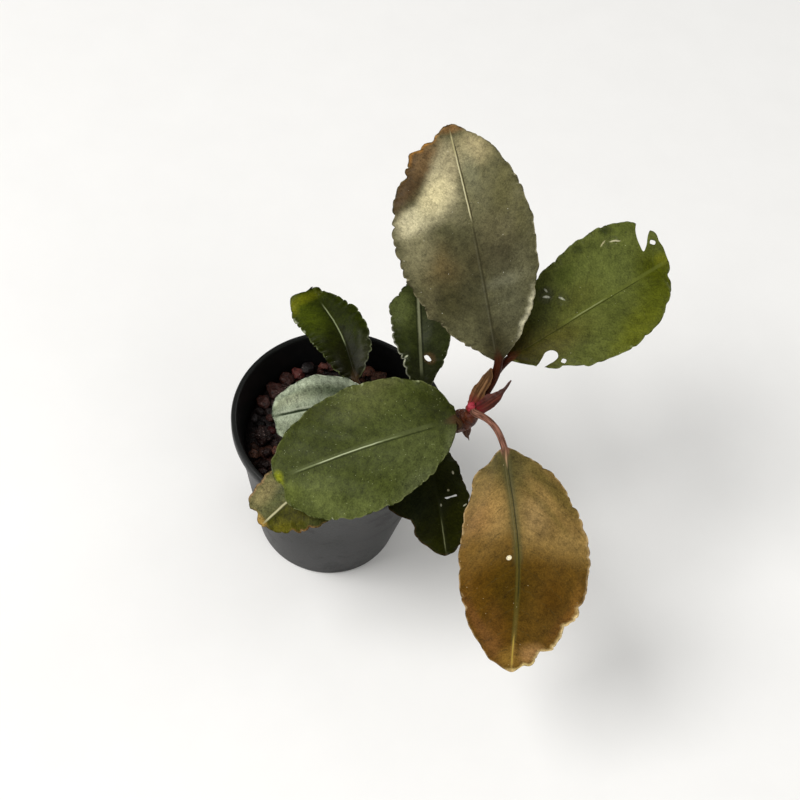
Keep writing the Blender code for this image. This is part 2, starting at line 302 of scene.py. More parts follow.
def lengths_along(path):
    return np.concatenate([[0.0], np.cumsum(np.linalg.norm(np.diff(path, axis=0), axis=1))])


def evenly_spaced(path, count):
    along = lengths_along(path)
    wanted = np.linspace(0.0, along[-1], count)
    return np.stack([np.interp(wanted, along, path[:, k]) for k in range(3)], axis=1)


def half_width(t, widest, peak, fullness):
    """How far a margin lies from the midrib, t of the way from the blade's base to its tip."""
    t = np.clip(t, 0.0, 1.0)
    base_part = (t / peak) ** fullness
    tip_part = ((1.0 - t) / (1.0 - peak)) ** (fullness * (1.0 - peak) / peak)
    return widest * base_part * tip_part


def unit(vectors):
    return vectors / np.linalg.norm(vectors, axis=-1, keepdims=True)


def smoothstep(low, high, value):
    s = np.clip((value - low) / (high - low), 0.0, 1.0)
    return s * s * (3.0 - 2.0 * s)


def wander(s, seed, wavelength):
    """A smooth wavy number between about -1 and 1 that doesn't repeat."""
    k = 2.0 * math.pi / wavelength
    return (
        np.sin(k * s + seed * 1.7)
        + 0.6 * np.sin(k * 1.73 * s + seed * 3.1)
        + 0.4 * np.sin(k * 2.91 * s + seed * 5.3)
    ) / 1.6


print("a curve of", len(smooth_path([(0, 0, 0), (1, 0, 0), (1, 1, 0)])), "points")

# %% [markdown]
# ## How a leaf is made
# A leaf could be a flat picture of a leaf, but then it has no thickness, no ruffle and no keel. Here it
# is a closed solid of two fine grids, an upper and a lower one, that share their margins. Every point
# first has a place on the flat leaf: millimetres across from the midrib and along from the blade's base.
# Scallops, bites and holes are made there, where they are simple. Then the flat leaf is laid along its
# curve, and each point is raised by the ruffle, the fold along the midrib and the curled margins.

# %% The leaf's flat grid
THIN = 0.05
THICK = 0.2
KEEL = 0.42


def spine_of(plan):
    """The curve of a stalk and blade: places, the way across and up at each, and its lengths."""
    blade = evenly_spaced(smooth_path(plan["blade"]), 161)
    stalk = plan.get("stalk", [])
    if stalk:
        lead = blade[20]
        points = list(stalk) + [plan["blade"][0], tuple(lead)]
        stem = evenly_spaced(smooth_path(points)[: 16 * (len(points) - 2) + 1], 41)
        path = np.vstack([stem[:-1], blade])
        stem_length = lengths_along(stem)[-1]
    else:
        path = blade
        stem_length = 0.0
    ahead = unit(np.gradient(path, axis=0))
    side = unit(np.cross(ahead, np.array(plan["faces"], float)))
    up = np.cross(side, ahead)
    return path, ahead, side, up, lengths_along(path) - stem_length


def flat_grid(plan, spine, rows, columns):
    """Places on the flat leaf, before it is bitten: across, along, and shares for each point."""
    length = spine[4][-1]
    stem_rows = round(rows * 0.16) if plan.get("stalk") else 0
    before = np.linspace(-1.0, 0.0, stem_rows + 1)[:-1]
    after = (1.0 - np.cos(np.linspace(0.0, math.pi, rows - stem_rows))) / 2.0
    after = 0.45 * after + 0.55 * np.linspace(0.0, 1.0, rows - stem_rows)
    after = np.where(after > 0.9, (1.0 - (1.0 - after) ** 2 / 0.1), after)
    t = np.concatenate([before, after])
    along = np.where(t < 0.0, -t * spine[4][0], t * length)
    on_blade = smoothstep(0.0, 0.12, t) if stem_rows else np.ones_like(t)
    foot = 1.0 + plan.get("foot", 0.5) * smoothstep(-0.55, -1.0, t)
    stalk = plan.get("radius", 0.0) * (1.0 - on_blade) * foot
    start, end = plan.get("trim", (0.0, 1.0))
    v = np.linspace(-1.0, 1.0, columns)
    blend = on_blade[:, None]
    u = np.sin(v * math.pi / 2.0) * (1.0 - blend) + (v * (1.15 - 0.15 * np.abs(v))) * blend
    reach = []
    for side in ("left", "right"):
        width = half_width(start + (end - start) * np.maximum(t, 0.0), *plan[side])
        reach.append(np.hypot(stalk, width) + 0.12 * on_blade)
    across = np.where(u < 0.0, u * reach[0][:, None], u * reach[1][:, None])
    return t, u, across, np.repeat(along[:, None], columns, axis=1), reach, on_blade, stalk


print("blade thickness", THICK * 2, "mm at the midrib and", THIN * 2, "mm near the margin")


# %% [markdown]
# ## Ruffled margins
# The margin of a bucephalandra is neither smooth nor toothed: it goes up and down in small waves, and is
# drawn in a little between them. Both waves are counted along the margin itself, so they stay evenly
# spaced round the tip, and both change in size along the way, as in the real leaf.

# %% Ruffle and scallops
def ruffle(plan, across, along, u, reach, on_blade):
    """Moves the margins in and out, and returns the new places and how far each point is lifted."""
    across, along = across.copy(), along.copy()
    lift = np.zeros_like(across)
    crest = np.zeros_like(across)
    seed = plan["seed"]
    for sign, name, width in ((-1.0, "left", reach[0]), (1.0, "right", reach[1])):
        depth, height, spacing = plan["ruffle"][name]
        line = np.stack([sign * width, along[:, 0]], axis=1)
        s = lengths_along(np.column_stack([line, np.zeros(len(line))]))
        heading = unit(np.gradient(line, axis=0) + 1e-9)
        outward = np.stack([heading[:, 1], -heading[:, 0]], axis=1) * sign
        beat = s / spacing + 0.22 * wander(s, seed + sign, spacing * 3.1)
        strength = np.clip(0.75 + 0.5 * wander(s, seed * 2.3 + sign, spacing * 4.7), 0.15, 1.4)
        notch = (1.0 - np.abs(np.sin(math.pi * beat))) ** 1.6
        slow = 0.22 * wander(s, seed * 1.3 - sign, 9.0)
        shift = (slow - depth * strength * notch) * on_blade
        wave = np.cos(2.0 * math.pi * beat + 0.6) * strength
        half = (u * sign > 0.0)
        pull = np.where(half, np.abs(u) ** 5, 0.0)
        across += pull * (shift * outward[:, 0])[:, None]
        along += pull * (shift * outward[:, 1])[:, None]
        inland = np.abs(np.abs(u) - 1.0) * width[:, None]
        rise = np.where(half, np.exp(-((inland / 1.5) ** 2)), 0.0)
        lift += rise * (height * wave * on_blade)[:, None]
        crest += np.where(half, np.exp(-((inland / 0.9) ** 2)), 0.0) * (wave * on_blade)[:, None]
    for (x, y), radius, (dx, dy) in plan.get("pushes", []):
        near = np.exp(-(((across - x) ** 2 + (along - y) ** 2) / radius**2))
        across += near * dx
        along += near * dy
    return across, along, lift, crest


# %% [markdown]
# ## Bites and holes
# Snails and wear have left notches in some margins and small holes in some blades. A boolean could cut
# them, but it loses the numbers stored on the points. Instead the small squares whose middle lies inside
# the outline of a hole are left out, and the points round it are moved onto that outline.

# %% Bites and holes
def closed_curve(points, count=160):
    """A smooth closed outline through points on the flat leaf."""
    ring = [(x, y, 0.0) for x, y in points]
    path = smooth_path(ring + ring[:2], 12)[: 12 * len(ring) + 1]
    return evenly_spaced(path, count)[:, :2]


def inside(outline, x, y):
    """True where a place lies inside a closed outline."""
    odd = np.zeros(x.shape, bool)
    for (x1, y1), (x2, y2) in zip(outline, np.roll(outline, -1, axis=0)):
        crosses = (y1 > y) != (y2 > y)
        with np.errstate(divide="ignore", invalid="ignore"):
            odd ^= crosses & (x < (x2 - x1) * (y - y1) / (y2 - y1) + x1)
    return odd


def bite(across, along, holes):
    """Leaves out the squares inside each hole and moves the points round it onto its outline."""
    kept = np.ones((across.shape[0] - 1, across.shape[1] - 1), bool)
    for hole in holes:
        outline = closed_curve(hole)
        middle_x = (across[:-1, :-1] + across[1:, 1:]) / 2.0
        middle_y = (along[:-1, :-1] + along[1:, 1:]) / 2.0
        gone = inside(outline, middle_x, middle_y)
        touches_gone = np.zeros(across.shape, bool)
        touches_kept = np.zeros(across.shape, bool)
        for rows in (slice(0, -1), slice(1, None)):
            for columns in (slice(0, -1), slice(1, None)):
                touches_gone[rows, columns] |= gone
                touches_kept[rows, columns] |= ~gone
        for i, j in np.argwhere(touches_gone & touches_kept):
            place = np.array([across[i, j], along[i, j]])
            nearest = outline[np.argmin(((outline - place) ** 2).sum(axis=1))]
            across[i, j], along[i, j] = nearest
        kept &= ~gone
    return kept


# %% [markdown]
# ## Laying the leaf along its curve
# Each flat place now becomes a point in space. The height has several parts: the fold along the midrib,
# a slow unevenness, the ruffle, curled stretches of margin, small blisters, and last the groove on the
# upper side and the keel on the lower side. The flat place is also stored on the mesh, because the finish
# paints by it.

# %% Grow a leaf
def surface_height(plan, t, u, across, along, lift, on_blade):
    """How far the middle of the blade's thickness lies over the flat leaf."""
    blend = on_blade[:, None]
    fold = plan["cup"] * (np.hypot(across, 0.7) - 0.7)
    arch = plan.get("arch", 0.0) * np.sin(math.pi * np.clip(np.abs(u), 0.0, 1.0))
    slow = plan.get("uneven", 0.2) * (
        np.sin(across * 0.42 + plan["seed"]) * np.cos(along * 0.31 + plan["seed"] * 2.0)
        + 0.5 * np.sin(across * 0.9 - along * 0.55 + plan["seed"] * 3.0)
    )
    height = (fold + arch + slow * np.minimum(np.abs(across) / 3.0, 1.0)) * blend + lift
    for (x, y), (wide, long), amount in plan.get("curls", []):
        near = np.exp(-(((across - x) / wide) ** 2) - ((along - y) / long) ** 2)
        height = height + amount * near * blend
    return height


def add_numbers(mesh, name, values):
    """Stores one number a point on the mesh, for the finish to read."""
    mesh.attributes.new(name, "FLOAT", "POINT").data.foreach_set("value", values.astype(np.float32))


def mesh_object(name, points, faces, numbers):
    """A mesh object from points in millimetres, with its faces turned outwards."""
    mesh = bpy.data.meshes.new(name)
    mesh.from_pydata((points * MM).tolist(), [], faces)
    work = bmesh.new()
    work.from_mesh(mesh)
    bmesh.ops.recalc_face_normals(work, faces=work.faces)
    work.to_mesh(mesh)
    work.free()
    for key, values in numbers.items():
        add_numbers(mesh, key, values)
    plan_places = np.column_stack([numbers["across"], numbers["along"], np.zeros(len(points))])
    mesh.attributes.new("flat_place", "FLOAT_VECTOR", "POINT").data.foreach_set(
        "vector", plan_places.astype(np.float32).ravel()
    )
    mesh.shade_smooth()
    mesh.set_sharp_from_angle(angle=math.radians(55.0))
    made = bpy.data.objects.new(name, mesh)
    bpy.context.scene.collection.objects.link(made)
    return made


def grow(name, plan, rows=190, columns=85):
    """A whole leaf or sheath as one closed solid."""
    spine = spine_of(plan)
    t, u, across, along, reach, on_blade, stalk = flat_grid(plan, spine, rows, columns)
    flat_across, flat_along = across, along
    across, along, lift, crest = ruffle(plan, across, along, u, reach, on_blade)
    kept = bite(across, along, plan.get("holes", []))
    height = surface_height(plan, t, u, across, along, lift, on_blade)

    path, ahead, side, up, lengths = spine
    inside_path = np.clip(along, lengths[0], lengths[-1])
    middle, forward, sideways, upward = (
        np.stack([np.interp(inside_path, lengths, field[:, k]) for k in range(3)], axis=-1)
        for field in (path, ahead, side, up)
    )
    middle = middle + forward * (along - inside_path)[..., None]
    base = middle + sideways * across[..., None] + upward * height[..., None]

    blend = on_blade[:, None]
    edge = np.clip(np.abs(u), 0.0, 1.0)
    bulk = plan.get("bulk", 1.0)
    plump = bulk * (THIN + (THICK - THIN) * (1.0 - edge**2)) * np.sqrt(np.clip(1.0 - edge**8, 0.0, 1.0))
    round_part = np.sqrt(np.clip(1.0 - u**2, 0.0, 1.0)) * stalk[:, None]
    taper = 1.0 - np.maximum(t, 0.0)[:, None]
    groove = plan.get("groove", 0.16) * np.exp(-((across / 0.38) ** 2)) * blend * np.minimum(1.0, taper * 4.0)
    keel = plan.get("keel", KEEL) * taper * np.exp(-((across / 0.85) ** 2)) * blend
    upper = base + upward * (round_part + plump * blend - groove)[..., None]
    for (x, y), radius, rise in plan.get("blisters", []):
        dome = np.clip(1.0 - ((across - x) ** 2 + (along - y) ** 2) / radius**2, 0.0, 1.0) ** 0.5
        upper = upper + upward * (dome * rise)[..., None]
    lower = base - upward * (round_part + plump * blend + keel)[..., None]

    high = np.arange(rows * columns).reshape(rows, columns)
    low = high.copy()
    low[:, 1:-1] = rows * columns + np.arange(rows * (columns - 2)).reshape(rows, columns - 2)
    points = np.vstack([upper.reshape(-1, 3), lower[:, 1:-1].reshape(-1, 3)])
    points[high[:, [0, -1]].ravel()] = base[:, [0, -1]].reshape(-1, 3)
    faces = []
    for i, j in np.argwhere(kept):
        faces.append((high[i, j], high[i, j + 1], high[i + 1, j + 1], high[i + 1, j]))
        faces.append((low[i, j], low[i + 1, j], low[i + 1, j + 1], low[i, j + 1]))
    walls = kept_borders(kept, high, low)
    used = sorted({int(k) for face in faces + walls for k in face})
    renumber = {old: new for new, old in enumerate(used)}
    faces = [tuple(renumber[int(k)] for k in face) for face in faces + walls]

    def both(field):
        return np.concatenate([field.ravel(), field[:, 1:-1].ravel()])[used]

    margin = np.stack([across[:, [0, -1]].ravel(), along[:, [0, -1]].ravel()], axis=1)
    flat = np.stack([across.ravel(), along.ravel()], axis=1)
    gap = np.min(
        np.hypot(flat[:, None, 0] - margin[None, :, 0], flat[:, None, 1] - margin[None, :, 1]), axis=1
    ).reshape(across.shape)
    numbers = {
        "across": both(across),
        "along": both(along),
        "edge": both(gap),
        "crest": both(crest),
        "share": both(np.abs(u)),
        "underside": np.concatenate([np.zeros(rows * columns), np.ones(rows * (columns - 2))])[used],
    }
    return mesh_object(name, points[used], faces, numbers)


def kept_borders(kept, high, low):
    """Narrow faces that close the solid round its holes and at its two ends."""
    rows, columns = kept.shape
    framed = np.zeros((rows + 2, columns + 2), bool)
    framed[1:-1, 1:-1] = kept
    walls = []
    for i, j in np.argwhere(framed[1:, 1:-1] != framed[:-1, 1:-1]):
        walls.append((high[i, j], high[i, j + 1], low[i, j + 1], low[i, j]))
    for i, j in np.argwhere(framed[1:-1, 1:] != framed[1:-1, :-1]):
        walls.append((high[i, j], high[i + 1, j], low[i + 1, j], low[i, j]))
    whole = []
    for wall in walls:
        corners = list(dict.fromkeys(int(k) for k in wall))
        if len(corners) > 2:
            whole.append(tuple(corners))
    return whole


print("leaf maker ready")

# %% [markdown]
# ## How a leaf is painted
# Every leaf has the same parts to its colour: a body that clouds over into a second tone, fine veins that
# leave the midrib forwards, a midrib with a light and a dark line, a margin, painted highlights on the
# crests of its ruffle, pale specks that are partly painted sparkles and a duller underside. On top of these
# each leaf has its own patches, such as a painted patch of sheen, a painted shadow and an orange glow
# painted where light shines through the tip.
# A patch is an ellipse on the flat leaf with a ragged soft border. All of it is worked out from the flat
# places that are stored on the mesh, so it bends with the leaf.

# %% Leaf painter
class LeafPaint(Finish):
    """A finish that knows its way about on a leaf."""

    def __init__(self, name, seed=0.0, **fixed):
        super().__init__(name, **fixed)
        self.flat = self.attribute("flat_place", "Vector")
        away = {0: self.flat, 1: (0.0, 0.0, seed * 7.0)}
        self.place = self.node("ShaderNodeVectorMath", {"operation": "ADD"}, away, "Vector")
        self.across = self.attribute("across")
        self.along = self.attribute("along")
        self.edge = self.attribute("edge")
        self.crest = self.attribute("crest")
        self.share = self.attribute("share")
        self.underside = self.attribute("underside")
        self.ragged = self.noise(self.place, 0.45, 5.0, 0.65)
        self.mottle = self.noise(self.place, 0.6, 6.0, 0.72)
        self.grain = self.noise(self.place, 2.8, 4.0, 0.75)

    def tone(self, colour, share):
        """The colour made lighter or darker. A share of 1 leaves it as it is."""
        parts = {"Vector": colour, "Scale": share}
        return self.node("ShaderNodeVectorMath", {"operation": "SCALE"}, parts, "Vector")

    def patch(self, centre, sizes, turn=0.0, soft=0.5, ragged=0.6):
        """1 inside an ellipse on the flat leaf, 0 outside, with a soft and ragged border."""
        local = self.node(
            "ShaderNodeMapping",
            {"vector_type": "TEXTURE"},
            {
                "Vector": self.flat,
                "Location": (*centre, 0.0),
                "Rotation": (0.0, 0.0, math.radians(turn)),
                "Scale": (*sizes, 1.0),
            },
        )
        far = self.node("ShaderNodeVectorMath", {"operation": "LENGTH"}, {0: local}, "Value")
        return (far + (self.ragged - 0.5) * ragged).fade(1.0 + soft, 1.0 - soft)

    def forwards(self, lean, bend):
        """How far along the blade the side vein through a place leaves the midrib."""
        reach = self.across.size()
        return self.along - reach * lean - reach * reach * bend

    def streaks(self, lean, bend, across_scale=0.5):
        """Uneven streaks that run the way of the side veins."""
        ahead = self.forwards(lean, bend) * 1.6 + (self.ragged - 0.5) * 1.6
        places = {"X": ahead, "Y": self.across * across_scale, "Z": self.across.above(0.0)}
        where = self.node("ShaderNodeCombineXYZ", inputs=places)
        return self.noise(where, 1.0, 4.0, 0.65)

    def veins(self, lean, bend, spacing, width):
        """1 along thin side veins, which aren't evenly spaced."""
        counted = (self.forwards(lean, bend) + (self.ragged - 0.5) * 2.4) / spacing
        beside = (counted.fraction() - 0.5).size() * (2.0 * spacing)
        return beside.fade(width, width * 0.2)

    def line(self, offset, width, start, end, fade=3.0):
        """1 along a line beside the midrib, from start to end along the blade."""
        near = (self.across - offset + (self.mottle - 0.5) * 0.25).size().fade(width, width * 0.35)
        return near * self.along.fade(start, start + fade) * self.along.fade(end, end - fade)

    def specks(self, scale, size, share):
        """1 on a few small specks: one in some of the cells of a Voronoi pattern."""
        near = self.cells(self.place, scale).fade(size, size * 0.4)
        return near * self.chance(self.place, scale).above(1.0 - share)


def paint_patches(paint, colour, patches):
    """Lays a leaf's own patches over its colour, and returns how wet each place is too."""
    wet = 0.0
    for patch in patches:
        if "beyond" in patch:
            start, end, lean, bend = patch["beyond"]
            mask = (paint.forwards(lean, bend) + (paint.mottle - 0.5) * 2.5).fade(start, end)
        else:
            mask = paint.patch(patch["at"], patch["size"], patch.get("turn", 0.0), patch.get("soft", 0.5),
                               patch.get("ragged", 0.6))
        if "margin" in patch:
            mask = mask * (paint.edge + (paint.ragged - 0.5) * patch["margin"]).fade(patch["margin"], 0.0)
        if "side" in patch:
            mask = mask * (paint.across * patch["side"]).fade(0.0, 0.7)
        mask = mask * patch.get("strength", 1.0)
        colour = paint.mix(mask, colour, patch["colour"])
        if "wet" in patch:
            wet = mask * patch["wet"] + wet
    return colour, wet


def paint_leaf(name, look):
    """The finish of one leaf, from its table of colours and patches."""
    paint = LeafPaint(name, look["seed"], specular_ior_level=look.get("shine", 0.05))
    lean, bend = look.get("lean", (0.75, 0.02))
    cloud = paint.noise(paint.place, 0.17, 3.0, 0.6).fade(0.38, 0.62)
    colour = paint.mix(cloud, look["body"], look["deep"])
    colour, wet = paint_patches(paint, colour, look["patches"])
    streak = paint.streaks(lean, bend)
    vein = paint.veins(lean, bend, look.get("vein_spacing", 3.4), look.get("vein_width", 0.3))
    colour = paint.mix(vein * paint.ragged.fade(0.4, 0.6) * look.get("vein_strength", 0.3), colour, look["vein"])
    if "bands" in look:
        bands = (paint.share * look["bands"] + (paint.mottle - 0.5) * 3.0).sine() * 0.5 + 0.5
        colour = paint.mix(bands * 0.55, colour, look["vein"])
        colour = paint.mix((1.0 - bands) * 0.45, colour, look["shade"])
    contrast = look.get("contrast", 1.0)
    lightness = (paint.mottle - 0.5) * (1.7 * contrast) + (paint.grain - 0.5) * (1.9 * contrast) + 1.0
    lightness = lightness + (streak - 0.5) * (contrast * look.get("streaks", 0.7))
    colour = paint.tone(colour, lightness.at_least(0.2))
    for offset, width, start, end, strength, tone in look["rib"]:
        colour = paint.mix(paint.line(offset, width, start, end) * strength, colour, tone)
    dashes = paint.noise(paint.place, 0.8, 2.0).fade(0.42, 0.56)
    rim = (paint.edge + (paint.grain - 0.5) * 0.3).fade(look.get("rim_width", 0.4), 0.06)
    colour = paint.mix(rim * look.get("rim_strength", 0.7), colour, paint.mix(dashes, look["shade"], look["rim"]))
    # Painted highlights: pale flecks where the crests of the ruffle near the margin catch the light.
    glint = paint.crest.fade(0.45, 0.95) * paint.noise(paint.place, 0.5, 2.0).fade(0.5, 0.62)
    colour = paint.mix(glint * look.get("glint", 0.5), colour, look["glint_tone"])
    # Pale specks; on most leaves they are partly painted sparkles of wet, and they are glossier too.
    speck = paint.specks(1.4, 0.13, look.get("specks", 0.1)).at_least(paint.specks(2.6, 0.1, 0.03))
    dark_speck = paint.specks(1.9, 0.14, 0.12) * 0.6
    colour = paint.mix(dark_speck, colour, look["shade"])
    colour = paint.mix(speck * 0.9, colour, look["speck_tone"])
    colour = paint.mix(paint.underside * look.get("under_strength", 0.75), colour, look["under"])
    stalk_streak = paint.node("ShaderNodeMapping", inputs={"Vector": paint.place, "Scale": (4.0, 0.35, 1.0)})
    stalk_tone = paint.mix(paint.noise(stalk_streak, 1.0, 4.0).fade(0.35, 0.65), *look["stalk"])
    on_stalk = (paint.across.size() + paint.along.at_least(0.0) * 0.28).fade(1.5, 0.85) * paint.along.fade(4.0, -0.6)
    on_stalk = on_stalk.at_least(paint.along.fade(-1.0, -1.8))
    colour = paint.mix(on_stalk, colour, stalk_tone)
    paint.set("Base Color", colour)
    rough = look.get("rough", 0.4) + (paint.grain - 0.5) * 0.3 + cloud * 0.06 - speck * 0.2
    paint.set("Roughness", (rough - wet).at_least(0.08))
    relief = paint.mottle * 0.5 + paint.grain * 0.35 + streak * 0.4 - vein * look.get("vein_relief", 0.25)
    paint.bump(relief, look.get("relief", 0.0001), 0.8)
    return paint.material


def place_leaf(node, slot, plan, look, rows=190, columns=85):
    """Grows and paints a leaf, and puts it in the place of its plain solid."""
    leaf = grow(node + "_blade", plan, rows, columns)
    leaf.data.materials.append(paint_leaf(slot, look))
    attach(leaf, "root")
    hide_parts(node)
    print(node, len(leaf.data.vertices), "points,", round(plan["left"][0] + plan["right"][0], 1), "mm wide")
    return leaf


RED_BROWN = (0.050, 0.011, 0.003)
DARK_RED = (0.022, 0.005, 0.002)

# %% [markdown]
# ## The top leaf
# The largest leaf faces the viewer. It is bronze, with a painted sheen where its surface catches the sky, a
# painted brown shadow beside it, and an orange margin near the tip, painted as light shining through the
# thin blade. Its left margin is the most scalloped of all, and its lower right margin curls up.

# %% Top leaf
leaf_top = place_leaf(
    "leaf_top",
    "bronze_leaf",
    dict(
        stalk=[(29.4, -10.0, 72.4), (29.9, -8.8, 74.0), (31.1, -7.3, 76.5), (32.1, -6.0, 79.6)],
        radius=0.95,
        foot=0.95,
        blade=[(32.4, -4.1, 85.0), (22.5, 11.5, 104.0), (12.4, 29.4, 117.0)],
        faces=(0.0, -0.62, 0.78),
        left=(17.0, 0.56, 0.83),
        right=(12.4, 0.54, 0.70),
        cup=0.16,
        seed=1.0,
        arch=0.35,
        ruffle={"left": (0.62, 0.36, 2.3), "right": (0.32, 0.26, 2.7)},
        pushes=[
            ((-12.5, 12.8), 1.0, (-0.8, 0.0)),
            ((-12.2, 42.6), 0.9, (0.8, -0.4)),
            ((-9.0, 47.2), 1.1, (-0.8, 0.5)),
            ((-4.5, 49.6), 0.9, (0.5, -0.6)),
            ((0.0, 50.9), 2.2, (0.0, 0.5)),
        ],
        curls=[((9.5, 9.0), (1.3, 5.0), 1.1), ((4.5, 3.0), (1.2, 2.5), 0.5), ((-15.0, 36.0), (2.5, 7.0), -0.8)],
    ),
    dict(
        seed=1.0,
        body=(0.092, 0.086, 0.040),
        deep=(0.066, 0.062, 0.029),
        vein=(0.150, 0.140, 0.080),
        shade=(0.030, 0.026, 0.013),
        rim=(0.20, 0.18, 0.10),
        under=(0.12, 0.10, 0.06),
        glint_tone=(0.42, 0.38, 0.24),
        speck_tone=(0.80, 0.77, 0.65),
        stalk=[RED_BROWN, DARK_RED],
        vein_strength=0.15,
        specks=0.05,
        patches=[
            dict(at=(2.0, 39.0), size=(8.0, 9.0), soft=0.7, strength=0.7, colour=(0.125, 0.116, 0.055)),
            dict(at=(3.8, 45.4), size=(3.4, 3.0), turn=-30.0, soft=0.8, strength=0.85, colour=(0.37, 0.31, 0.16)),
            dict(at=(2.0, 41.5), size=(1.6, 4.6), soft=0.8, strength=0.5, colour=(0.20, 0.195, 0.110)),
            dict(at=(8.0, 34.0), size=(3.0, 9.0), soft=0.7, strength=0.5, colour=(0.105, 0.095, 0.034)),
            dict(at=(4.5, 23.5), size=(4.5, 6.0), soft=0.8, strength=0.75, colour=(0.044, 0.038, 0.019)),
            dict(at=(-7.0, 22.5), size=(5.0, 4.5), soft=0.8, strength=0.7, colour=(0.115, 0.080, 0.030)),
            dict(at=(-7.6, 15.0), size=(3.5, 5.0), soft=0.8, strength=0.8, colour=(0.040, 0.036, 0.013)),
            dict(at=(-12.6, 15.0), size=(1.6, 5.0), turn=-20.0, soft=0.7, strength=0.6, colour=(0.095, 0.084, 0.040)),
            dict(at=(-2.4, 17.0), size=(2.8, 9.0), soft=0.8, strength=0.75, colour=(0.045, 0.042, 0.018)),
            dict(at=(-4.2, 26.0), size=(2.6, 4.0), soft=0.8, strength=0.6, colour=(0.064, 0.062, 0.028)),
            dict(at=(5.0, 13.0), size=(4.4, 6.0), soft=0.8, strength=0.75, colour=(0.082, 0.080, 0.044)),
            dict(at=(5.0, 17.4), size=(4.4, 1.2), turn=12.0, soft=0.8, strength=0.6, colour=(0.140, 0.137, 0.085)),
            dict(at=(8.6, 20.0), size=(2.0, 4.0), soft=0.8, strength=0.6, colour=(0.110, 0.104, 0.054)),
            dict(at=(2.8, 6.0), size=(2.4, 4.5), soft=0.8, strength=0.6, colour=(0.070, 0.066, 0.034)),
            dict(at=(0.0, 2.4), size=(2.6, 4.6), soft=0.8, strength=0.9, colour=(0.020, 0.017, 0.006)),
            dict(at=(-6.5, 7.6), size=(4.0, 3.4), soft=0.8, strength=0.5, colour=(0.092, 0.088, 0.042)),
            dict(at=(4.6, 28.0), size=(3.4, 3.0), soft=0.8, strength=0.7, colour=(0.112, 0.100, 0.048)),
            dict(at=(-12.6, 27.0), size=(3.2, 5.0), turn=-20.0, soft=0.8, strength=0.8, colour=(0.185, 0.168, 0.090)),
            # Painted sheen: the light patches where the blade catches the sky.
            dict(at=(-12.6, 33.2), size=(3.0, 2.2), turn=20.0, soft=0.7, strength=0.9, colour=(0.55, 0.495, 0.31)),
            dict(at=(-8.6, 34.2), size=(6.6, 2.6), turn=24.0, soft=0.75, strength=0.7, colour=(0.46, 0.42, 0.25)),
            dict(at=(-4.6, 40.2), size=(3.2, 6.2), turn=-6.0, soft=0.6, strength=0.8, colour=(0.42, 0.37, 0.22)),
            dict(at=(-5.9, 37.6), size=(4.0, 2.4), turn=42.0, soft=0.8, strength=0.95, colour=(0.60, 0.53, 0.30)),
            dict(at=(-1.6, 44.4), size=(2.0, 3.6), turn=4.0, soft=0.7, strength=0.7, colour=(0.38, 0.33, 0.19)),
            dict(at=(-2.6, 33.2), size=(2.6, 2.6), soft=0.8, strength=0.6, colour=(0.17, 0.155, 0.085)),
            # Painted shadow: the brown shade beside the sheen.
            dict(at=(-10.9, 43.6), size=(9.8, 4.2), turn=50.0, soft=0.34, strength=0.97, colour=(0.066, 0.040, 0.017)),
            # Painted light shining through the thin blade: orange and brown on the margin and tip near the top.
            dict(at=(-6.0, 46.3), size=(4.6, 1.8), turn=46.0, soft=0.7, strength=0.6, colour=(0.17, 0.105, 0.045)),
            dict(at=(-6.6, 49.0), size=(5.2, 3.0), turn=40.0, soft=0.3, margin=1.0, colour=(0.36, 0.165, 0.030)),
            dict(at=(-11.8, 44.0), size=(3.5, 3.0), turn=50.0, soft=0.4, margin=0.6, strength=0.8,
                 colour=(0.12, 0.055, 0.012)),
            dict(at=(0.6, 50.9), size=(3.4, 1.3), soft=0.6, strength=0.85, colour=(0.19, 0.10, 0.035)),
            dict(at=(9.0, 8.0), size=(3.5, 6.5), turn=-18.0, soft=0.4, margin=1.6, colour=(0.42, 0.40, 0.27)),
            dict(at=(-15.0, 30.0), size=(3.0, 13.0), soft=0.4, margin=0.45, strength=0.8, colour=(0.040, 0.032, 0.016)),
        ],
        rib=[
            (-0.05, 0.20, 30.0, 51.0, 0.85, (0.40, 0.36, 0.18)),
            (-0.10, 0.12, 30.0, 46.0, 0.6, (0.72, 0.68, 0.46)),
            (0.26, 0.20, 29.0, 49.0, 0.85, (0.038, 0.034, 0.014)),
            (0.0, 0.26, 1.0, 31.0, 0.7, (0.030, 0.027, 0.012)),
            (-0.42, 0.24, 1.0, 28.0, 0.25, (0.13, 0.125, 0.075)),
        ],
    ),
    230,
    101,
)
